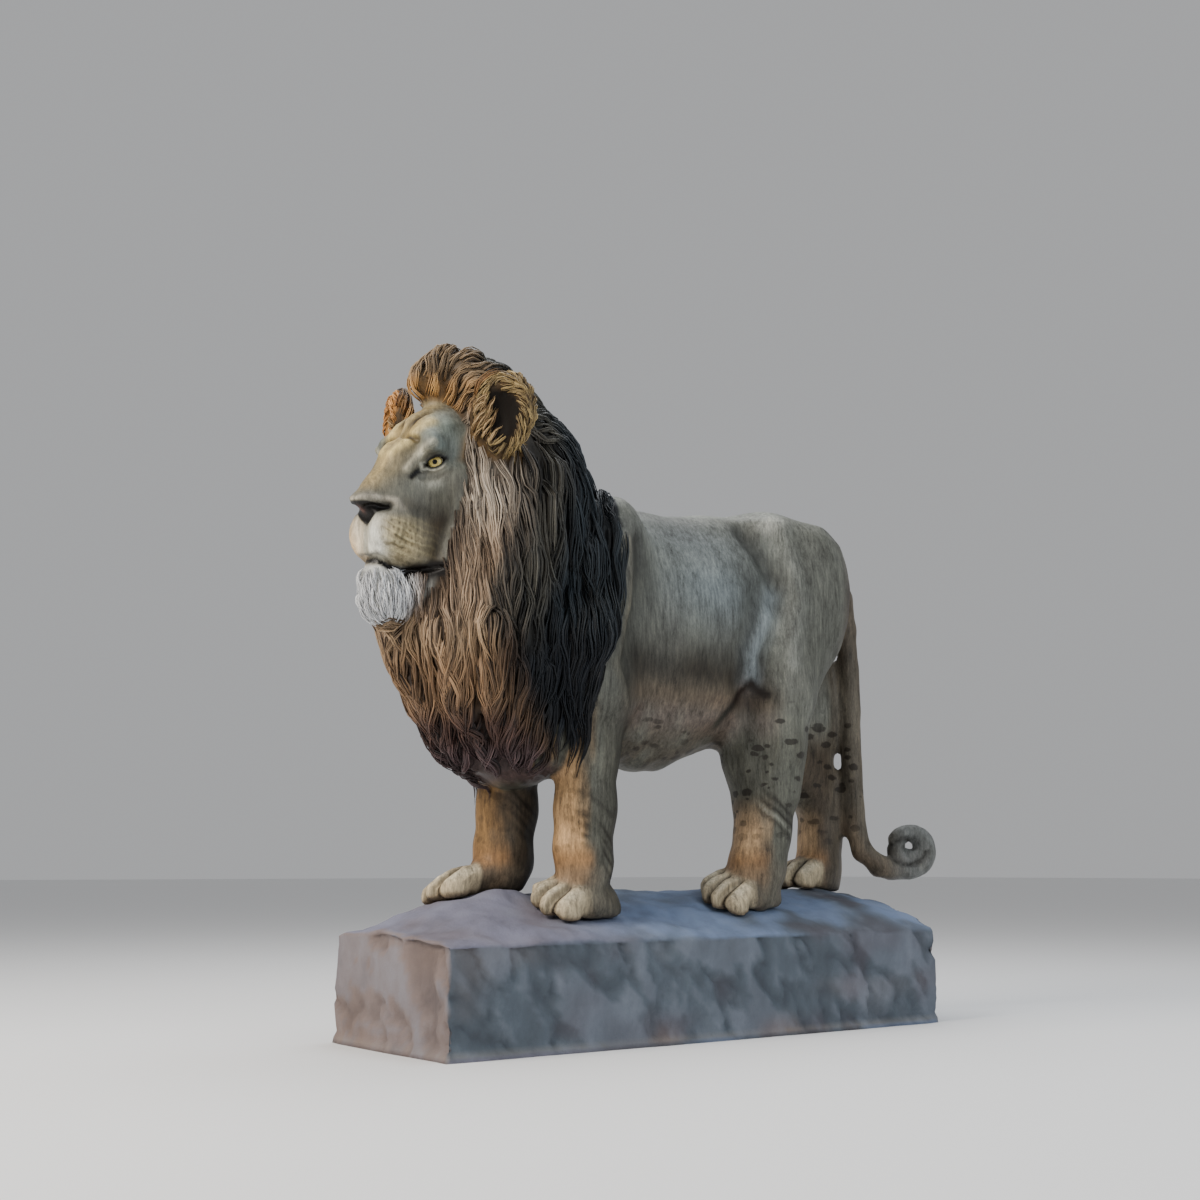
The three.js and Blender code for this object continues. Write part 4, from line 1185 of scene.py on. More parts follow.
class Coat:
    """Works out the painted colours of the skin from where each place lies on the animal."""

    def __init__(self, figure: Array, normals: Array) -> None:
        """Starts with the plain ground colour.

        Args:
            figure: The vertices in the figure's frame.
            normals: The vertices' normals.
        """
        self.at = figure
        self.side = figure.copy()
        self.side[:, 0] = np.abs(self.side[:, 0])
        self.normals = normals
        self.head = FIGURE.to_head(figure)
        self.forms = BodyForms()
        self.colour = plain(tint("67675f"), len(figure))
        self.spots = np.zeros(len(figure))
        self.fur = np.ones(len(figure))
        self.gloss = np.zeros(len(figure))

    def lay(self, colour: Colour, share: Array) -> None:
        """Paints a colour over what is there by a share for each vertex."""
        self.colour = mix(self.colour, colour, np.clip(share, 0.0, 1.0))

    def body(self) -> None:
        """The trunk: grey-olive with a bluish flank, a brown lower edge and a pale spotted belly, with painted
        shade in its grooves and hollows and painted highlights on the hip, the haunch, the shoulder blade and the
        back.
        """
        _, y, z = self.side.T
        patches = field_noise(self.at, (120.0, 120.0, 240.0), 21)
        self.lay(tint("77796f"), ramp(-0.3, 0.7, patches) * 0.6)
        self.lay(tint("727c80"), bump(y, 90.0, 230.0) * bump(z, 900.0, 120.0) * 0.7)
        self.lay(tint("6f7677"), bump(y, 60.0, 240.0) * bump(z, 1040.0, 70.0) * 0.6)
        trunk = ramp(-330.0, -230.0, y) * ramp(330.0, 250.0, y)
        self.lay(tint("231b12"), trunk * bump(z, 655.0, 84.0) * (0.8 + 0.3 * patches))
        self.lay(tint("6a5844"), trunk * bump(z, 575.0, 46.0) * 0.6)
        self.lay(tint("7d6f68"), trunk * bump(z, 510.0, 42.0) * 0.75)
        under = ramp(-0.2, -0.75, self.normals[:, 2]) * ramp(330.0, 420.0, z) * trunk
        self.lay(tint("6f5548"), under * 0.8)
        self.spots = np.maximum(self.spots, np.maximum(under, trunk * bump(z, 500.0, 36.0)) * 0.8)
        # painted shade: the carved groove in front of the thigh, the flank before it, the hollow behind the
        # shoulder and the back of the thigh are darkened
        self.lay(tint("1b1a16"), near_line(self.side, self.forms.groove, 40.0) * 0.8)
        self.lay(tint("34342e"), near_spot(self.side, (180.0, 225.0, 860.0), (60.0, 56.0, 190.0)) * 0.7)
        self.lay(tint("3b3c36"), near_spot(self.side, (190.0, -190.0, 900.0), (60.0, 60.0, 170.0)) * 0.6)
        self.lay(tint("40413b"), near_spot(self.side, (200.0, 480.0, 700.0), (60.0, 60.0, 150.0)) * 0.6)
        # painted highlight along the raised fold, with painted shade in the hollow ahead of it
        self.lay(tint("8a9396"), near_line(self.side, self.forms.fold, 34.0) * 0.65)
        ahead = self.side + np.array([0.0, 40.0, 0.0])
        self.lay(tint("262724"), near_line(ahead, self.forms.fold, 20.0) * 0.6)
        # painted shade: the dark arch where the flank meets the thigh and the hollow over the stifle
        flat = self.side * np.array([0.2, 1.0, 1.0])
        arch = ((28.0, 120.0, 515.0), (30.0, 180.0, 585.0), (32.0, 226.0, 640.0), (36.0, 268.0, 606.0))
        self.lay(tint("120d09"), near_line(flat, arch, 15.0) * (z < 700.0) * 1.2)
        self.lay(tint("2a1e16"), near_spot(self.side, (150.0, 222.0, 585.0), (70.0, 42.0, 50.0)) * 0.8)
        # painted highlights on the hip bone and along the haunch's ridge
        self.lay(tint("a2a29a"), near_spot(self.side, self.forms.hip, (40.0, 54.0, 34.0)) * 0.8)
        self.lay(tint("8d8f87"), near_line(self.side, self.forms.haunch, 26.0) * 0.5)
        # painted highlight on the shoulder blade's edge, painted shade behind it and painted shade round the elbow
        self.lay(tint("8c8471"), near_line(self.side, self.forms.blade, 13.0) * 0.8)
        behind = self.side - np.array([0.0, 36.0, 0.0])
        self.lay(tint("1d1c18"), near_line(behind, self.forms.blade, 26.0) * 0.75)
        self.lay(tint("2b2b25"), near_spot(self.side, (205.0, -300.0, 660.0), (60.0, 80.0, 210.0)) * 0.7)
        self.lay(tint("5c5d55"), ramp(330.0, 420.0, y) * ramp(600.0, 680.0, z) * 0.5)
        rear = ramp(560.0, 660.0, y) * bump(z, 880.0, 190.0)
        self.lay(tint("3a2922"), rear * 0.85)
        # painted light: the upward-facing top of the back is painted paler
        top_light_on_back = ramp(0.75, 0.98, self.normals[:, 2]) * ramp(900.0, 1000.0, z) * ramp(-300.0, -200.0, y)
        self.lay(tint("868a83"), top_light_on_back * 0.6)

    def legs(self) -> None:
        """The legs: olive-grey with tan front edges, partly painted warm light, dark spots and bands and cream
        toes, with painted shade on their inner sides, backs and far sides and between the toes, and painted
        highlights on the toes' tops.
        """
        _, y, z = self.side.T
        front = ramp(-150.0, -230.0, y)
        back = ramp(150.0, 220.0, y) * ramp(860.0, 800.0, y)
        low = ramp(600.0, 440.0, z)
        grain = field_noise(self.at, (40.0, 40.0, 120.0), 61)
        self.lay(tint("4d4c42"), low * 0.8)
        self.lay(tint("67685e"), low * ramp(0.0, 0.7, grain) * 0.6)
        # the forward faces are tan, partly the coat's tan and partly painted warm light; the far front leg's tan is
        # a darker copy as painted shade
        ahead = ramp(0.25, 0.85, -self.normals[:, 1]) * low
        self.lay(tint("bb966a"), ahead * front * ramp(-60.0, -20.0, self.at[:, 0]))
        self.lay(tint("7d603c"), ahead * front * ramp(-20.0, -60.0, self.at[:, 0]))
        self.lay(tint("b39470"), ahead * back * ramp(330.0, 200.0, z) * 0.95)
        # painted shade on the legs' inner sides, between the legs
        inward = ramp(0.2, 0.9, -self.normals[:, 0] * np.sign(self.at[:, 0])) * low
        self.lay(tint("4a3a2a"), inward * 0.7)
        self.lay(tint("8f6a45"), ramp(190.0, 120.0, z) * ramp(-0.1, 0.6, -self.normals[:, 1]) * low * 0.8)
        self.lay(tint("70685a"), ramp(140.0, 90.0, z) * low * 0.5)
        shade = ramp(0.0, 0.8, self.normals[:, 1]) * low
        self.lay(tint("26251f"), shade * front * 0.8)
        # painted shade on the far front leg's faces turned back and away from the front
        right = ramp(-40.0, -80.0, self.at[:, 0]) * front * low
        self.lay(tint("1a140f"), right * ramp(-0.2, 0.5, self.normals[:, 1] + 0.4 * self.normals[:, 0]) * 0.9)
        slant = z + 0.75 * (y - np.where(front > 0.5, -340.0, 290.0)) + 14.0 * grain
        aside = ramp(0.95, 0.5, -self.normals[:, 1])
        for height, strength in ((268.0, 0.5), (214.0, 0.8), (186.0, 0.6), (158.0, 0.85), (128.0, 0.5)):
            band = bump(slant, height, 8.0) * strength * ramp(-0.2, 0.5, grain + 0.4) * aside
            self.lay(tint("1c1711"), front * band * 1.1)
        for height, strength in ((306.0, 0.7), (276.0, 0.8), (236.0, 0.6)):
            band = bump(slant, height, 9.0) * strength * ramp(-0.4, 0.4, grain + 0.3) * aside
            self.lay(tint("1c1711"), back * band * 1.1)
        self.lay(tint("a5a698"), back * bump(slant, 256.0, 7.0) * aside * 0.4)
        self.spots = np.maximum(self.spots, ramp(640.0, 520.0, z) * ramp(90.0, 330.0, z) * back)
        self.spots = np.maximum(self.spots, ramp(430.0, 300.0, z) * ramp(60.0, 140.0, z) * front * 0.35)
        for paw in PAWS:
            toes = paw.toes_share(self.at)
            top = paw.own(self.at)[:, 2]
            self.lay(tint("a89a80"), ramp(95.0, 74.0, top) * ramp(0.0, 0.3, toes) * 0.8)
            self.lay(tint("b9a98b"), toes * ramp(90.0, 60.0, top))
            # painted highlight on the toes' tops, painted shade in the clefts between them and at their foot on the
            # rock
            self.lay(tint("d9cfb6"), toes * bump(top, 62.0, 16.0) * ramp(0.1, 0.7, self.normals[:, 2]) * 0.6)
            self.lay(tint("1f1710"), paw.gaps(self.at) * ramp(0.0, 0.4, toes) * 1.2)
            self.lay(tint("5d4c3c"), toes * ramp(20.0, 6.0, top) * 0.7)

    def tail(self) -> None:
        """The tail: olive-brown with a dark streak behind, greyer on the curl, with painted shade in the curl's
        groove.
        """
        x, y, z = self.at.T
        tail = ramp(690.0, 740.0, y) * ramp(150.0, 110.0, np.abs(x - 0.2 * (y - 690.0)))
        tail = np.maximum(tail * ramp(1130.0, 1090.0, z), ramp(800.0, 840.0, y))
        self.lay(tint("5c5448"), tail * 0.85)
        self.lay(tint("2b251f"), tail * ramp(0.5, 0.9, -self.normals[:, 0]) * 0.6)
        self.lay(tint("8b8478"), tail * ramp(0.3, 0.9, self.normals[:, 1]) * 0.6)
        self.lay(tint("6f7474"), ramp(850.0, 930.0, y) * 0.7)
        stripes = np.sin((y + 0.8 * z) / 11.0) * ramp(830.0, 880.0, y)
        self.lay(tint("38352f"), np.clip(stripes, 0.0, 1.0) * 0.3)
        # painted shade in the groove between the turns of the curl
        self.lay(tint("1c1813"), self.forms.spiral(self.at) * 0.9)

    def under_mane(self) -> None:
        """Painted shade on the skin where the mane's hair stands on it: the mane's colours, darkened."""
        mane = ManeMap()
        grows = mane.grows(self.at).astype(float)
        breast = ramp(445.0, 425.0, self.at[:, 2]) * ramp(320.0, 345.0, self.at[:, 2])
        breast *= ramp(-410.0, -470.0, self.at[:, 1]) * ramp(150.0, 120.0, np.abs(self.at[:, 0]))
        self.lay(tint("4a3d3b"), breast)
        # painted shade: under the hair the skin takes the mane's colours darkened to 0.4
        self.colour = mix(self.colour, mane.colour(self.at, np.zeros(len(self.at))) * 0.4, grows)

    def face(self) -> None:
        """The face: grey-olive, with a golden brow, a pale muzzle and chin, black lips and nostrils, and painted
        shade in the furrows, round the eyes, on the cheeks and under the ruff's edge.
        """
        h = self.head.copy()
        h[:, 0] = np.abs(h[:, 0])
        x, _, z = h.T
        forms = FaceForms()
        edge = forms.opening.edge(h)
        behind = ManeMap().behind_front(self.at)
        face = ramp(10.0, -25.0, behind) * ramp(720.0, 760.0, z) * ramp(1345.0, 1325.0, z)
        face *= ramp(175.0, 160.0, x)
        grain = field_noise(self.head, (16.0, 34.0, 34.0), 71)
        self.lay(tint("66645a"), face)
        self.lay(tint("4a4a42"), face * ramp(0.0, 0.7, field_noise(self.head, (30.0, 50.0, 30.0), 72)) * 0.6)
        self.lay(tint("6f7870"), face * bump(z, 1258.0, 56.0) * ramp(20.0, 60.0, x))
        self.lay(tint("6c7570"), face * bump(z, 1200.0, 60.0) * ramp(90.0, 120.0, x))
        bridge = bump(x, 0.0, 42.0) * ramp(1040.0, 1090.0, z)
        self.lay(tint("b09a68"), face * bridge * (0.75 + 0.25 * grain))
        self.lay(tint("c2a460"), face * near_spot(h, (40.0, -845.0, 1215.0), (26.0, 54.0, 54.0)))
        self.lay(tint("d8c182"), face * near_line(h, forms.ridge, 14.0) * 0.8)
        # painted shade in the carved brow furrow and in the hollow between the golden ridge and the brow
        self.lay(tint("2a2013"), face * near_line(h, forms.furrow, 10.0))
        under = near_line(h, ((44.0, -918.0, 1160.0), (60.0, -890.0, 1192.0), (84.0, -864.0, 1216.0)), 9.0)
        self.lay(tint("403b2a"), face * under * 0.8)
        self.lay(tint("55564f"), face * near_spot(h, (80.0, -920.0, 1075.0), (40.0, 60.0, 38.0)) * 0.9)
        self.lay(tint("94958b"), face * near_spot(h, (104.0, -852.0, 1094.0), (28.0, 30.0, 20.0)) * 0.9)
        self.lay(tint("8b8c82"), face * near_spot(h, (84.0, -884.0, 1098.0), (20.0, 20.0, 18.0)) * 0.8)
        # painted shade in the groove under the eye, along the cheek's groove and on the cheek
        self.lay(tint("2f2d26"), face * near_line(h, forms.under_eye, 7.0) * 0.7)
        self.lay(tint("3c3830"), face * near_line(h, forms.cheek_line, 20.0) * 0.8)
        self.lay(tint("43443b"), face * near_spot(h, (120.0, -830.0, 1060.0), (40.0, 50.0, 50.0)) * 0.6)
        # painted shadow of the ruff on the skin along its front edge
        self.lay(tint("271f15"), face * ramp(-85.0, -20.0, behind) * ramp(1070.0, 990.0, z))
        self.lay(tint("5f5c50"), face * ramp(-50.0, -5.0, behind) * ramp(1000.0, 1080.0, z) * 0.6)
        self._muzzle(h, face, forms, grain)
        # painted shade in the eye socket
        socket = near_spot(h, (92.0, -846.0, 1160.0), (24.0, 34.0, 28.0))
        self.lay(tint("38342a"), face * socket * 0.8)
        self.lay(tint("cfc8ae"), face * near_line(h, forms.brow, 9.0))
        self.lay(tint("0c0a08"), near_line(h, forms.tear, 9.0) * 1.3)
        lids = np.exp(-(((edge + 1.5) / 4.2) ** 2))
        self.lay(tint("0a0908"), np.maximum(lids, ramp(-1.0, 1.0, edge)) * 1.1)
        self.lay(tint("b9b6a4"), face * np.exp(-(((edge + 9.0) / 3.2) ** 2)) * ramp(1160.0, 1140.0, z) * 0.9)
        self.fur *= 1.0 - 0.25 * face

    def _muzzle(self, h: Array, face: Array, forms: FaceForms, grain: Array) -> None:
        """The muzzle's pads, nose leather, lips and chin, with painted warm light on the far side of the pads.

        Args:
            h: The vertices in the head's frame, all on its left.
            face: 1 on the face.
            forms: The carved lines.
            grain: Noise that breaks the colours up.
        """
        x, y, z = h.T
        pad = near_spot(h, (62.0, -935.0, 935.0), (60.0, 66.0, 62.0)) * ramp(1010.0, 985.0, z)
        self.lay(tint("a3946f"), face * pad * 1.5)
        self.lay(tint("dddccf"), face * near_spot(h, (36.0, -975.0, 930.0), (30.0, 38.0, 62.0)) * 1.4)
        self.lay(tint("c4bda4"), face * near_line(h, ((30.0, -960.0, 905.0), (92.0, -862.0, 893.0)), 12.0) * 0.8)
        # painted warm light: the far side of the whisker pads is painted a warmer, lighter tan
        far = ramp(-4.0, -14.0, self.head[:, 0]) * pad * face
        self.lay(tint("cfae7e"), far * 1.3)
        streaks = np.sin((z + 0.3 * y) / 3.1 + 2.0 * grain)
        self.lay(tint("dccf9f"), face * pad * ramp(0.3, 0.9, streaks) * ramp(60.0, 80.0, x) * 0.5)
        for spot in whisker_spots(h):
            self.lay(tint("3a3222"), spot * face * 0.6)
        patches = ramp(-0.6, 0.4, field_noise(self.head, (20.0, 14.0, 8.0), 73))
        olive = np.sin(z / 3.6 + 0.09 * y + 3.0 * grain) * patches
        self.lay(tint("4f4429"), face * pad * ramp(0.35, 0.9, olive) * ramp(52.0, 66.0, x) * 0.8)
        self.lay(tint("b5ad9c"), face * near_line(h, forms.wing, 8.0) * 0.8)
        width = np.interp(z, (972.0, 988.0, 1010.0, 1024.0, 1030.0), (3.0, 22.0, 44.0, 56.0, 30.0))
        leather = ramp(4.0, -3.0, x - width) * ramp(-930.0, -945.0, y)
        leather *= ramp(968.0, 976.0, z) * ramp(1034.0, 1026.0, z)
        self.lay(tint("0d0a09"), leather)
        self.lay(tint("6a4a42"), leather * near_spot(h, (0.0, -1004.0, 1010.0), (8.0, 30.0, 8.0)))
        self.gloss = np.maximum(self.gloss, 0.4 * leather)
        self.lay(tint("060505"), near_line(h, forms.nostril, 12.0) * 1.4)
        self.lay(tint("0d0b0a"), near_line(h, forms.philtrum, 6.5) * 1.2)
        chin = ramp(878.0, 866.0, z) * ramp(-812.0, -850.0, y) * face
        self.lay(tint("b9bab6"), chin)
        self.lay(tint("3f372f"), chin * ramp(-895.0, -858.0, y))
        lips = forms.lips(h, 9.5)
        self.lay(tint("080707"), lips * 1.6)
        corner = near_line(h, ((72.0, -882.0, 858.0), (130.0, -828.0, 878.0)), 26.0) * ramp(905.0, 890.0, z)
        self.lay(tint("0f0b09"), corner * 1.4)
        self.gloss = np.maximum(self.gloss, 0.7 * lips)

    def ears(self) -> None:
        """The ears: golden-orange, with painted shade in the hollow and painted warm light on the far ear."""
        mane = ManeMap()
        ear = mane.ear(self.at).astype(float)
        h = self.head.copy()
        h[:, 0] = np.abs(h[:, 0])
        x, y, z = h.T
        near = ramp(112.0, 130.0, x) * ramp(-820.0, -800.0, y) * ramp(-630.0, -650.0, y) * ramp(1150.0, 1185.0, z)
        self.lay(tint("6b5334"), np.maximum(ear, near))
        # painted shade in the ear's hollow, with its sheen taken away by the gloss share
        hollow = near * near_spot(h, (212.0, -742.0, 1282.0), (62.0, 80.0, 74.0))
        hollow = np.clip(hollow * ramp(0.45, 0.15, self.normals[:, 1]) * 2.2, 0.0, 1.0)
        self.lay(tint("0f0a06"), hollow)
        self.gloss -= 1.4 * hollow
        # painted warm light: the far ear is painted a brighter orange
        self.lay(tint("c48a4a"), ear * ramp(0.0, -20.0, self.head[:, 0]) * 0.6)


# Eyes


@dataclass
class Eye:
    """One eyeball with a yellow iris and a round pupil, turned to look ahead."""

    name: str
    side: int
    radius: float = 24.0
    middle: tuple[float, float, float] = (73.5, -825.5, 1155.5)
    gaze: tuple[float, float, float] = (0.68, -0.73, -0.03)

    def build(self) -> bpy.types.Object:
        """Makes the ball, paints it by the angle from the line of sight and sets it in the head.

        Returns:
            The finished piece.
        """
        sided = np.array([self.side, 1.0, 1.0])
        centre = np.array(self.middle) * sided
        look = unit(np.array(self.gaze) * sided)
        form = bmesh.new()
        bmesh.ops.create_icosphere(form, subdivisions=5, radius=self.radius)
        mesh = bpy.data.meshes.new(self.name)
        form.to_mesh(mesh)
        form.free()
        local = places_of(mesh)
        angle = np.degrees(np.arccos(np.clip(unit(local) @ look, -1.0, 1.0)))
        local *= (1.0 + 0.03 * bump(angle, 0.0, 26.0))[:, None]
        colour = plain(tint("c9bd9c"), len(local))
        colour = mix(colour, tint("2b1d10"), ramp(52.0, 46.0, angle))
        colour = mix(colour, tint("dcc878"), ramp(48.0, 41.0, angle))
        colour = mix(colour, tint("8f7436"), bump(angle, 22.0, 5.0) * 0.5)
        colour = mix(colour, tint("050505"), ramp(18.5, 14.5, angle))
        move_to(mesh, FIGURE.to_world(FIGURE.from_head(local + centre)))
        paint_on(mesh, "paint", colour)
        piece = add_object(self.name, mesh)
        return finish_piece(piece, EyePaint(self.name + "_gloss_paint").make())


# The mane


class Zone(Enum):
    """The parts of the mane, each with its own kind of lock."""

    LEFT = "mane_left_locks"
    RIGHT = "mane_right_locks"
    BREAST = "mane_breast_locks"
    RUFF_LEFT = "mane_left_ruff"
    RUFF_RIGHT = "mane_right_ruff"
    CROWN = "mane_forelock"
    CHIN = "chin_tuft"
    EARS = "ear_fringe"
    EAR_TUFTS = "ear_tufts"


@dataclass(frozen=True)
class LockStyle:
    """How one kind of lock grows, in millimetres."""

    length: float
    width: float
    strands: int
    thickness: float
    wave: float = 9.0
    turn_length: float = 165.0
    lift: float = 9.0
    gather: float = 0.14
    steps: int = 10


LOCK_STYLES = {
    Zone.LEFT: (38.0, LockStyle(280.0, 52.0, 11, 2.7, wave=13.0, turn_length=190.0)),
    Zone.RIGHT: (40.0, LockStyle(280.0, 54.0, 11, 2.8, wave=13.0, turn_length=190.0)),
    Zone.BREAST: (33.0, LockStyle(235.0, 46.0, 11, 2.5, wave=11.0, turn_length=170.0)),
    Zone.RUFF_LEFT: (25.0, LockStyle(310.0, 38.0, 13, 2.0, wave=13.0, turn_length=170.0)),
    Zone.RUFF_RIGHT: (25.0, LockStyle(310.0, 38.0, 13, 2.0, wave=13.0, turn_length=170.0)),
    Zone.CROWN: (28.0, LockStyle(140.0, 38.0, 11, 2.3, wave=6.0, turn_length=120.0, lift=7.0, steps=9)),
    Zone.CHIN: (15.0, LockStyle(80.0, 26.0, 9, 1.3, wave=4.0, turn_length=90.0, lift=5.0, steps=7)),
    Zone.EARS: (16.0, LockStyle(62.0, 17.0, 7, 1.6, wave=2.0, turn_length=90.0, lift=3.0, steps=7)),
    Zone.EAR_TUFTS: (15.0, LockStyle(72.0, 15.0, 7, 1.4, wave=4.0, turn_length=90.0, lift=8.0, steps=8)),
}


def hair_hues(dark: str, pale: str, light: Array) -> Array:
    """Hues between two swatches.

    Args:
        dark: The swatch of the darkest hairs.
        pale: The swatch of the lightest hairs.
        light: How light each hair is, from -1 to 1.

    Returns:
        One colour for each value of light.
    """
    return mix(plain(tint(dark), len(light)), tint(pale), np.clip(0.5 + 0.5 * light, 0.0, 1.0))


@dataclass(frozen=True)
class ManeMap:
    """Where hair grows and which colour it has, in the figure's and the head's frames."""

    front_heights: tuple[float, ...] = (330, 490, 640, 745, 819, 897, 971, 1057, 1171, 1250, 1300, 1335, 1420)
    front_places: tuple[float, ...] = (-600, -758, -865, -868, -846, -826, -816, -798, -762, -764, -770, -766, -780)
    rear_heights: tuple[float, ...] = (380, 423, 600, 821, 996, 1100, 1217, 1359, 1450)
    rear_places: tuple[float, ...] = (-560, -505, -400, -337, -277, -270, -290, -380, -520)

    def behind_front(self, figure: Array) -> Array:
        """How far behind the hairline, or the breast's front below it, each place lies."""
        h = FIGURE.to_head(figure)
        return h[:, 1] - np.interp(h[:, 2], self.front_heights, self.front_places)

    def ear(self, figure: Array) -> Array:
        """True on the ears.

        Args:
            figure: Places in the figure's frame.

        Returns:
            One answer for each place.
        """
        h = FIGURE.to_head(figure)
        x = (np.abs(h[:, 0]) - 216.0) / 92.0
        return x**2 + ((h[:, 1] + 726.0) / 74.0) ** 2 + ((h[:, 2] - 1298.0) / 122.0) ** 2 < 1.0

    def grows(self, figure: Array) -> Array:
        """True where the mane's hair is rooted.

        Args:
            figure: Places in the figure's frame.

        Returns:
            One answer for each place.
        """
        z = figure[:, 2]
        rear = np.interp(z, self.rear_heights, self.rear_places)
        h = FIGURE.to_head(figure)
        face = (self.behind_front(figure) < 0.0) & (h[:, 2] > 742.0) & (h[:, 2] < 1327.0)
        return (z > 425.0) & (figure[:, 1] < rear) & ~face & ~self.ear(figure)

    def zone(self, figure: Array, normals: Array, zone: Zone) -> Array:
        """True where the locks of one zone are rooted.

        Args:
            figure: Places in the figure's frame.
            normals: The skin's outward directions there.
            zone: The part of the mane.

        Returns:
            One answer for each place.
        """
        x, y, z = figure.T
        h = FIGURE.to_head(figure)
        across, ahead, up = np.abs(h[:, 0]), h[:, 1], h[:, 2]
        if zone is Zone.CHIN:
            return (across < 92.0) & (ahead < -850.0) & (up > 756.0) & (up < 868.0) & (normals[:, 2] < 0.5)
        if zone is Zone.EARS:
            hollow = np.linalg.norm((h - np.array([0.0, -764.0, 1288.0])) * [0.0, 1.0, 0.8], axis=1)
            inside = (normals[:, 1] < -0.2) & (hollow < 52.0) & (across > 180.0) & (across < 258.0)
            return self.ear(figure) & ~inside & (up > 1205.0)
        if zone is Zone.EAR_TUFTS:
            edge = (across > 150.0) & (across < 192.0) & (ahead < -715.0) & (up > 1205.0) & (up < 1300.0)
            return edge & (normals[:, 1] < 0.2)
        grows = self.grows(figure)
        behind = self.behind_front(figure)
        ruff = grows & (behind < 100.0) & (z > 745.0) & (up < 1262.0)
        crown = grows & (up >= 1262.0) & (y < -470.0)
        if zone in (Zone.RUFF_LEFT, Zone.RUFF_RIGHT):
            return ruff & ~crown & ((h[:, 0] >= 0.0) == (zone is Zone.RUFF_LEFT))
        if zone is Zone.CROWN:
            return crown
        rest = grows & ~ruff & ~crown
        breast = rest & (z < 800.0) & (behind < 150.0)
        if zone is Zone.BREAST:
            return breast
        return rest & ~breast & ((x >= 0.0) == (zone is Zone.LEFT))

    def colour(self, figure: Array, light: Array) -> Array:
        """Hair colour by place, between the dark and the light hairs of each part.

        Args:
            figure: Places in the figure's frame.
            light: How light each hair is, from -1 to 1.

        Returns:
            One colour for each place.
        """
        z = figure[:, 2]
        behind = self.behind_front(figure) + 24.0 * field_noise(figure, (60.0, 60.0, 170.0), 31)

        def pair(dark: str, pale: str) -> Array:
            """Each place's hue between two swatches."""
            return hair_hues(dark, pale, light)

        cheek = pair("3b322a", "c0b2a0")
        cheek = mix(cheek, pair("35291f", "c0a488"), ramp(1060.0, 880.0, z))
        edge = ramp(22.0, 4.0, self.behind_front(figure)) * ramp(1040.0, 960.0, z)
        cheek = mix(cheek, pair("2a2019", "6f5f4f"), edge)
        cheek = mix(cheek, pair("141210", "6b6257"), ramp(70.0, 115.0, behind))
        cheek = mix(cheek, pair("0d0d0c", "5e5b52"), ramp(120.0, 190.0, behind))
        cheek = mix(cheek, pair("06080a", "2a3238"), ramp(215.0, 300.0, behind))
        breast = pair("3a2c21", "b89c7a")
        breast = mix(breast, pair("281e17", "a58463"), ramp(720.0, 600.0, z))
        breast = mix(breast, pair("1c1413", "5c443b"), ramp(560.0, 460.0, z))
        breast = mix(breast, pair("1f1819", "5a4849"), ramp(450.0, 390.0, z))
        breast = mix(breast, pair("15100d", "54402f"), ramp(90.0, 150.0, behind))
        breast = mix(breast, pair("030406", "161b22"), ramp(150.0, 220.0, behind))
        colour = mix(cheek, breast, ramp(830.0, 640.0, z + 50.0 * field_noise(figure, (50.0, 50.0, 120.0), 33)))
        ahead = FIGURE.to_head(figure)[:, 1]
        crown = pair("3a2f25", "9a8263")
        crown = mix(crown, pair("5f4225", "cf9f60"), ramp(-740.0, -775.0, ahead) * ramp(1430.0, 1370.0, z))
        crown = mix(crown, pair("1a1916", "55534a"), ramp(-730.0, -650.0, ahead))
        crown = mix(crown, pair("0c0e10", "33383a"), ramp(-600.0, -470.0, ahead))
        return mix(colour, crown, ramp(1250.0, 1320.0, z))

    def zone_colour(self, figure: Array, light: Array, zone: Zone) -> Array:
        """Hair colour of one zone's locks.

        Args:
            figure: Places in the figure's frame.
            light: How light each hair is, from -1 to 1.
            zone: The part of the mane.

        Returns:
            One colour for each place.
        """
        h = FIGURE.to_head(figure)
        if zone is Zone.CHIN:
            white = hair_hues("9a9c9f", "eef0f2", light)
            tan = hair_hues("4e4036", "a08870", light)
            return mix(white, tan, ramp(-900.0, -850.0, h[:, 1]))
        if zone is Zone.EARS:
            golden = hair_hues("3f3120", "b39a68", light)
            orange = hair_hues("8a5a2c", "e0a765", light)
            # the far ear's fringe is painted orange as painted warm light
            return mix(golden, orange, ramp(0.0, -20.0, h[:, 0]) * ramp(-640.0, -700.0, h[:, 1]))
        if zone is Zone.EAR_TUFTS:
            return hair_hues("5e4526", "cfb082", light)
        return self.colour(figure, light)


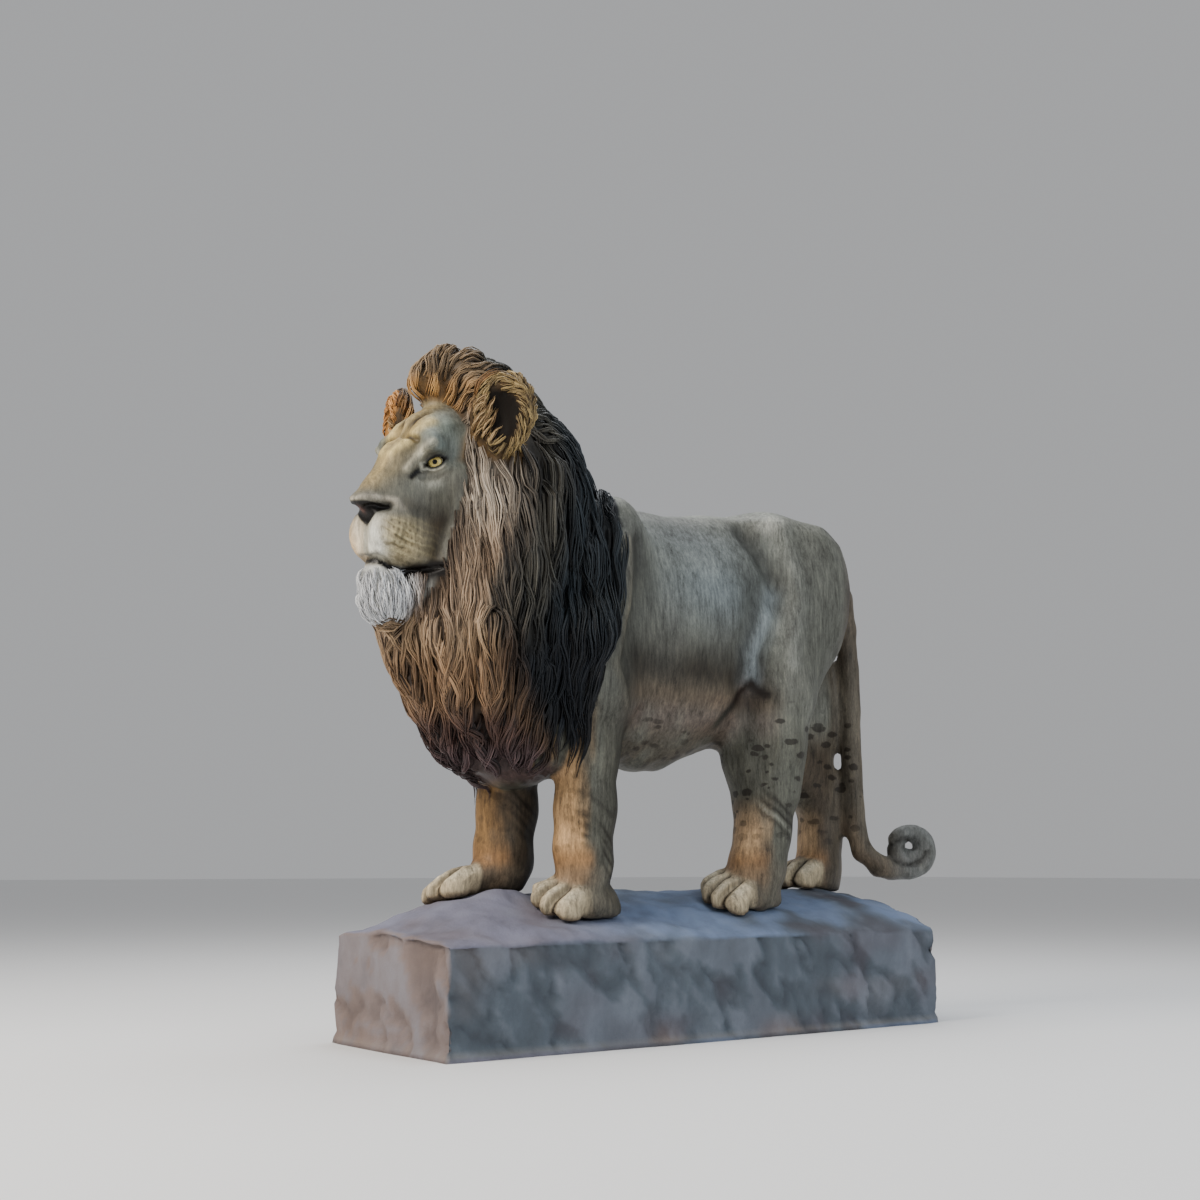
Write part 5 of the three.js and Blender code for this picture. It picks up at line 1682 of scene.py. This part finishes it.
class Mane:
    """The mane: seeded locks, each of several strands, that follow the fall of the hair over the skin."""

    FACE_CENTRE = np.array([0.0, -800.0, 1060.0])

    def __init__(self, skin: bpy.types.Object) -> None:
        """Reads the skin that the hair grows on.

        Args:
            skin: The finished skin.
        """
        mesh = skin.data
        self.places = FIGURE.from_world(places_of(mesh))
        self.normals = normals_of(mesh)
        self.tree = BVHTree.FromPolygons([v.co for v in mesh.vertices], [p.vertices for p in mesh.polygons])
        self.low, self.high = (np.array(corner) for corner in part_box("lion"))
        self.random = np.random.default_rng(20)
        self.map = ManeMap()

    def nearest(self, place: Array) -> tuple[Array, Array]:
        """The skin's nearest place and its outward direction, in the figure's frame."""
        spot, normal, _, _ = self.tree.find_nearest(Vector(FIGURE.to_world(place)))
        return FIGURE.from_world(np.array(spot)), np.array(normal)

    def fall(self, place: Array, normal: Array, zone: Zone) -> Array:
        """The direction in which the hair of a zone lies at a place on the skin.

        Args:
            place: One place in the figure's frame.
            normal: The skin's outward direction there.
            zone: The part of the mane.

        Returns:
            The direction.
        """
        x, y, z = place
        side = 1.0 if x > 0.0 else -1.0
        if zone is Zone.CHIN:
            blend = np.array([0.06 * x / 40.0, 0.12, -1.0])
        elif zone is Zone.EARS:
            own = FIGURE.to_head(place[None, :])[0] - np.array([214.0 * side, -735.0, 1285.0])
            rolled = np.array([own[2], 0.0, -side * abs(own[0])]) * side
            rolled = rolled if own[0] * side > -10.0 else np.array([0.5 * side, 0.0, 1.0]) * 60.0
            blend = rolled / 60.0 + np.array([0.4 * side, 0.1, 0.0])
        elif zone is Zone.EAR_TUFTS:
            blend = np.array([0.7 * side, -0.1, 0.6])
        elif zone is Zone.CROWN:
            front = float(ramp(-700.0, -780.0, y))
            blend = np.array([0.5 * x / 150.0, 1.0 - 0.7 * front, 0.1 + 1.2 * front])
        else:
            near = float(np.exp(-((np.linalg.norm(place - self.FACE_CENTRE) / 300.0) ** 4)))
            top = float(ramp(1150.0, 1380.0, z)) * float(ramp(-780.0, -640.0, y))
            forward = 0.16 * float(ramp(900.0, 600.0, z)) + 0.1 * float(ramp(-420.0, -300.0, y))
            down = np.array([0.1 * side * (1.0 - near), 0.16 * near - forward, -1.0])
            back = np.array([0.35 * x / 150.0, 1.0, 0.1])
            blend = down * (1.0 - top) + back * top
        blend = blend - normal * float(blend @ normal)
        return unit(blend)

    def guide(self, root: Array, style: LockStyle, length: float, zone: Zone) -> tuple[Array, Array]:
        """Traces a lock's middle line over the skin.

        Args:
            root: Where it starts, in the figure's frame.
            style: How it grows.
            length: Its own length.
            zone: The part of the mane it belongs to.

        Returns:
            The line's places and the skin's outward directions there.
        """
        steps = style.steps
        stride = length / (steps - 1)
        spot, normal = self.nearest(root)
        line, outs = [], []
        direction = self.fall(spot, normal, zone)
        for i in range(steps):
            t = i / (steps - 1)
            line.append(spot + normal * style.lift * (1.35 * math.sin(math.pi * min(0.05 + t * 1.1, 1.0)) - 0.35))
            outs.append(normal)
            direction = unit(direction * 0.5 + self.fall(spot, normal, zone) * 0.5)
            spot, next_normal = self.nearest(spot + direction * stride)
            normal = unit(normal * 0.5 + next_normal * 0.5)
        return np.array(line), np.array(outs)

    def lock(self, strands: Strands, root: Array, style: LockStyle, zone: Zone) -> None:
        """Adds one lock: strands side by side at the root that gather to a point at the tip.

        Args:
            strands: Where the lock's strands are kept.
            root: Where it starts, in the figure's frame.
            style: How it grows.
            zone: The part of the mane it belongs to.
        """
        rng = self.random
        low = float(ramp(640.0, 440.0, root[2])) * 0.45
        length = style.length * rng.uniform(0.75, 1.2) * (1.0 - low)
        line, outs = self.guide(root, style, length, zone)
        t = np.linspace(0.0, 1.0, len(line))
        ahead = unit(np.gradient(line, axis=0))
        across = unit(np.cross(outs, ahead))
        turns = length / style.turn_length
        swing = style.wave * rng.uniform(0.6, 1.3)
        wave = swing * np.sin(2.0 * math.pi * t * turns + rng.uniform(0.0, 6.3)) * (0.2 + 0.8 * t)
        shade = rng.uniform(-0.65, 0.5)
        for _ in range(style.strands):
            offset = rng.uniform(-1.0, 1.0)
            spread = style.width * 0.5 * offset * (1.0 - (1.0 - style.gather) * t**1.1)
            crown = (1.0 - offset**2) * 0.4 * style.width * np.sin(math.pi * np.clip(0.12 + 0.8 * t, 0.0, 1.0))
            own = rng.uniform(-1.0, 1.0) * 2.4 * np.sin(2.0 * math.pi * t * 2.3 + rng.uniform(0.0, 6.3))
            path = line + across * (spread + wave + own)[:, None] + outs * (crown * rng.uniform(0.3, 1.0))[:, None]
            path = path[: max(4, int(round(len(path) * rng.uniform(0.78, 1.0))))]
            share = np.linspace(0.0, 1.0, len(path))
            body = (1.0 - 0.9 * share**2.2) * (0.45 + 0.55 * np.clip(share / 0.22, 0.0, 1.0))
            radius = style.thickness * rng.uniform(0.6, 1.25) * body
            # painted light and shade on each lock: its middle strands lighter and its edge strands darker, beside a
            # random tone for the lock and each strand, and lighter towards the tip
            light = shade + 0.5 * (1.0 - 2.2 * offset**2) + rng.uniform(-0.7, 0.4)
            tone = np.clip(self.map.zone_colour(path, light + 0.3 * share - 0.15, zone), 0.0, 1.0)
            room = (radius.max() + 0.3) * MM
            strands.add(np.clip(FIGURE.to_world(path), self.low + room, self.high - room), radius * MM, tone)

    def roots(self, allowed: Array, spacing: float) -> Array:
        """Places spread evenly over part of the skin.

        Args:
            allowed: True for each vertex where hair may be rooted.
            spacing: The least distance between two roots, in millimetres.

        Returns:
            The chosen vertices' places, from the lowest to the highest.
        """
        candidates = self.places[allowed]
        candidates = candidates[self.random.permutation(len(candidates))]
        taken: dict[tuple[int, int, int], list[Array]] = {}
        chosen = []
        for place in candidates:
            cell = tuple(int(c) for c in np.floor(place / spacing))
            near = [
                other
                for i in (-1, 0, 1)
                for j in (-1, 0, 1)
                for k in (-1, 0, 1)
                for other in taken.get((cell[0] + i, cell[1] + j, cell[2] + k), ())
            ]
            if all(float(np.sum((place - other) ** 2)) > spacing**2 for other in near):
                taken.setdefault(cell, []).append(place)
                chosen.append(place)
        return np.array(sorted(chosen, key=lambda p: p[2]))

    def build(self) -> list[bpy.types.Object]:
        """Grows the whole mane, with the chin's tuft and the ears' fringes.

        Returns:
            Its pieces.
        """
        paint = HairPaint("mane_hair_paint").make()
        pieces = []
        for zone, (spacing, style) in LOCK_STYLES.items():
            strands = Strands(zone.value)
            for root in self.roots(self.map.zone(self.places, self.normals, zone), spacing):
                self.lock(strands, root, style, zone)
            log.info("%s: %d strands", zone.value, len(strands.paths))
            pieces.append(finish_piece(strands.build(), paint))
        return pieces


@dataclass(frozen=True)
class Studio:
    """The floor, the lights and the camera, in metres."""

    eye: tuple[float, float, float] = (3.599, -2.8879, 0.4516)
    pitch: float = math.radians(9.51)
    azimuth: float = math.atan2(0.6, -0.8)
    lens: float = 48.0
    floor_reach: float = 60.0
    surround: float = 0.5

    def build(self) -> None:
        """Makes everything that isn't part of the statue."""
        self._floor()
        self._camera()
        self._lights()

    def _floor(self) -> None:
        """A wide pale floor that runs to the horizon."""
        form = bmesh.new()
        bmesh.ops.create_grid(form, x_segments=1, y_segments=1, size=self.floor_reach)
        mesh = bpy.data.meshes.new("studio_floor")
        form.to_mesh(mesh)
        form.free()
        floor = add_object("studio_floor", mesh)
        b = Board("studio_floor_paint")
        b.feed(Base_Color=(0.8, 0.8, 0.8), Roughness=0.9)
        mesh.materials.append(b.material)

    def _camera(self) -> None:
        """The camera at the angle of the reference view."""
        data = bpy.data.cameras.new("camera")
        data.lens = self.lens
        data.sensor_width = 36.0
        data.sensor_fit = "HORIZONTAL"
        data.clip_end = 200.0
        camera = bpy.data.objects.new("camera", data)
        bpy.context.scene.collection.objects.link(camera)
        level = Vector((math.cos(self.azimuth), math.sin(self.azimuth), 0.0))
        ahead = level * math.cos(self.pitch) + Vector((0.0, 0.0, math.sin(self.pitch)))
        camera.location = self.eye
        camera.rotation_euler = ahead.to_track_quat("-Z", "Y").to_euler()
        bpy.context.scene.camera = camera

    def _lights(self) -> None:
        """A warm key ahead of the lion, a cool fill on its left, a soft light above and a pale surround."""
        self._area("key", (0.2, -4.8, 3.9), 2.4, 340.0, (1.0, 0.93, 0.84))
        self._area("fill", (4.8, 0.6, 3.0), 3.6, 105.0, (0.84, 0.92, 1.0))
        self._area("top", (-0.6, 0.8, 5.2), 3.2, 170.0, (0.93, 0.96, 1.0))
        world = bpy.data.worlds.new("studio_surround")
        world.use_nodes = True
        shade = world.node_tree.nodes["Background"]
        shade.inputs["Color"].default_value = (0.86, 0.87, 0.89, 1.0)
        shade.inputs["Strength"].default_value = self.surround
        bpy.context.scene.world = world

    @staticmethod
    def _area(name: str, place: tuple[float, float, float], size: float, power: float, colour: Colour) -> None:
        """A square soft light that faces the middle of the figure.

        Args:
            name: The light's name.
            place: Where it stands.
            size: The length of its side.
            power: In watts.
            colour: Its colour.
        """
        data = bpy.data.lights.new(name, "AREA")
        data.size = size
        data.energy = power
        data.color = colour
        lamp = bpy.data.objects.new(name, data)
        bpy.context.scene.collection.objects.link(lamp)
        lamp.location = place
        lamp.rotation_euler = (Vector((0.0, 0.0, 1.0)) - Vector(place)).to_track_quat("-Z", "Y").to_euler()


def corners(box: Any) -> list[list[float]]:
    """The two corners of a box as plain lists of numbers."""
    return [[float(value) for value in corner] for corner in box]


def main() -> None:
    """Builds the statue and the studio round it."""
    logging.basicConfig(level=logging.INFO, format="%(message)s")
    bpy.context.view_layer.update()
    Studio().build()
    Rock().build()
    skin = Skin().build()
    for name, side in (("eye_left", 1), ("eye_right", -1)):
        Eye(name, side).build()
    Mane(skin).build()


if __name__ == "__main__":
    main()
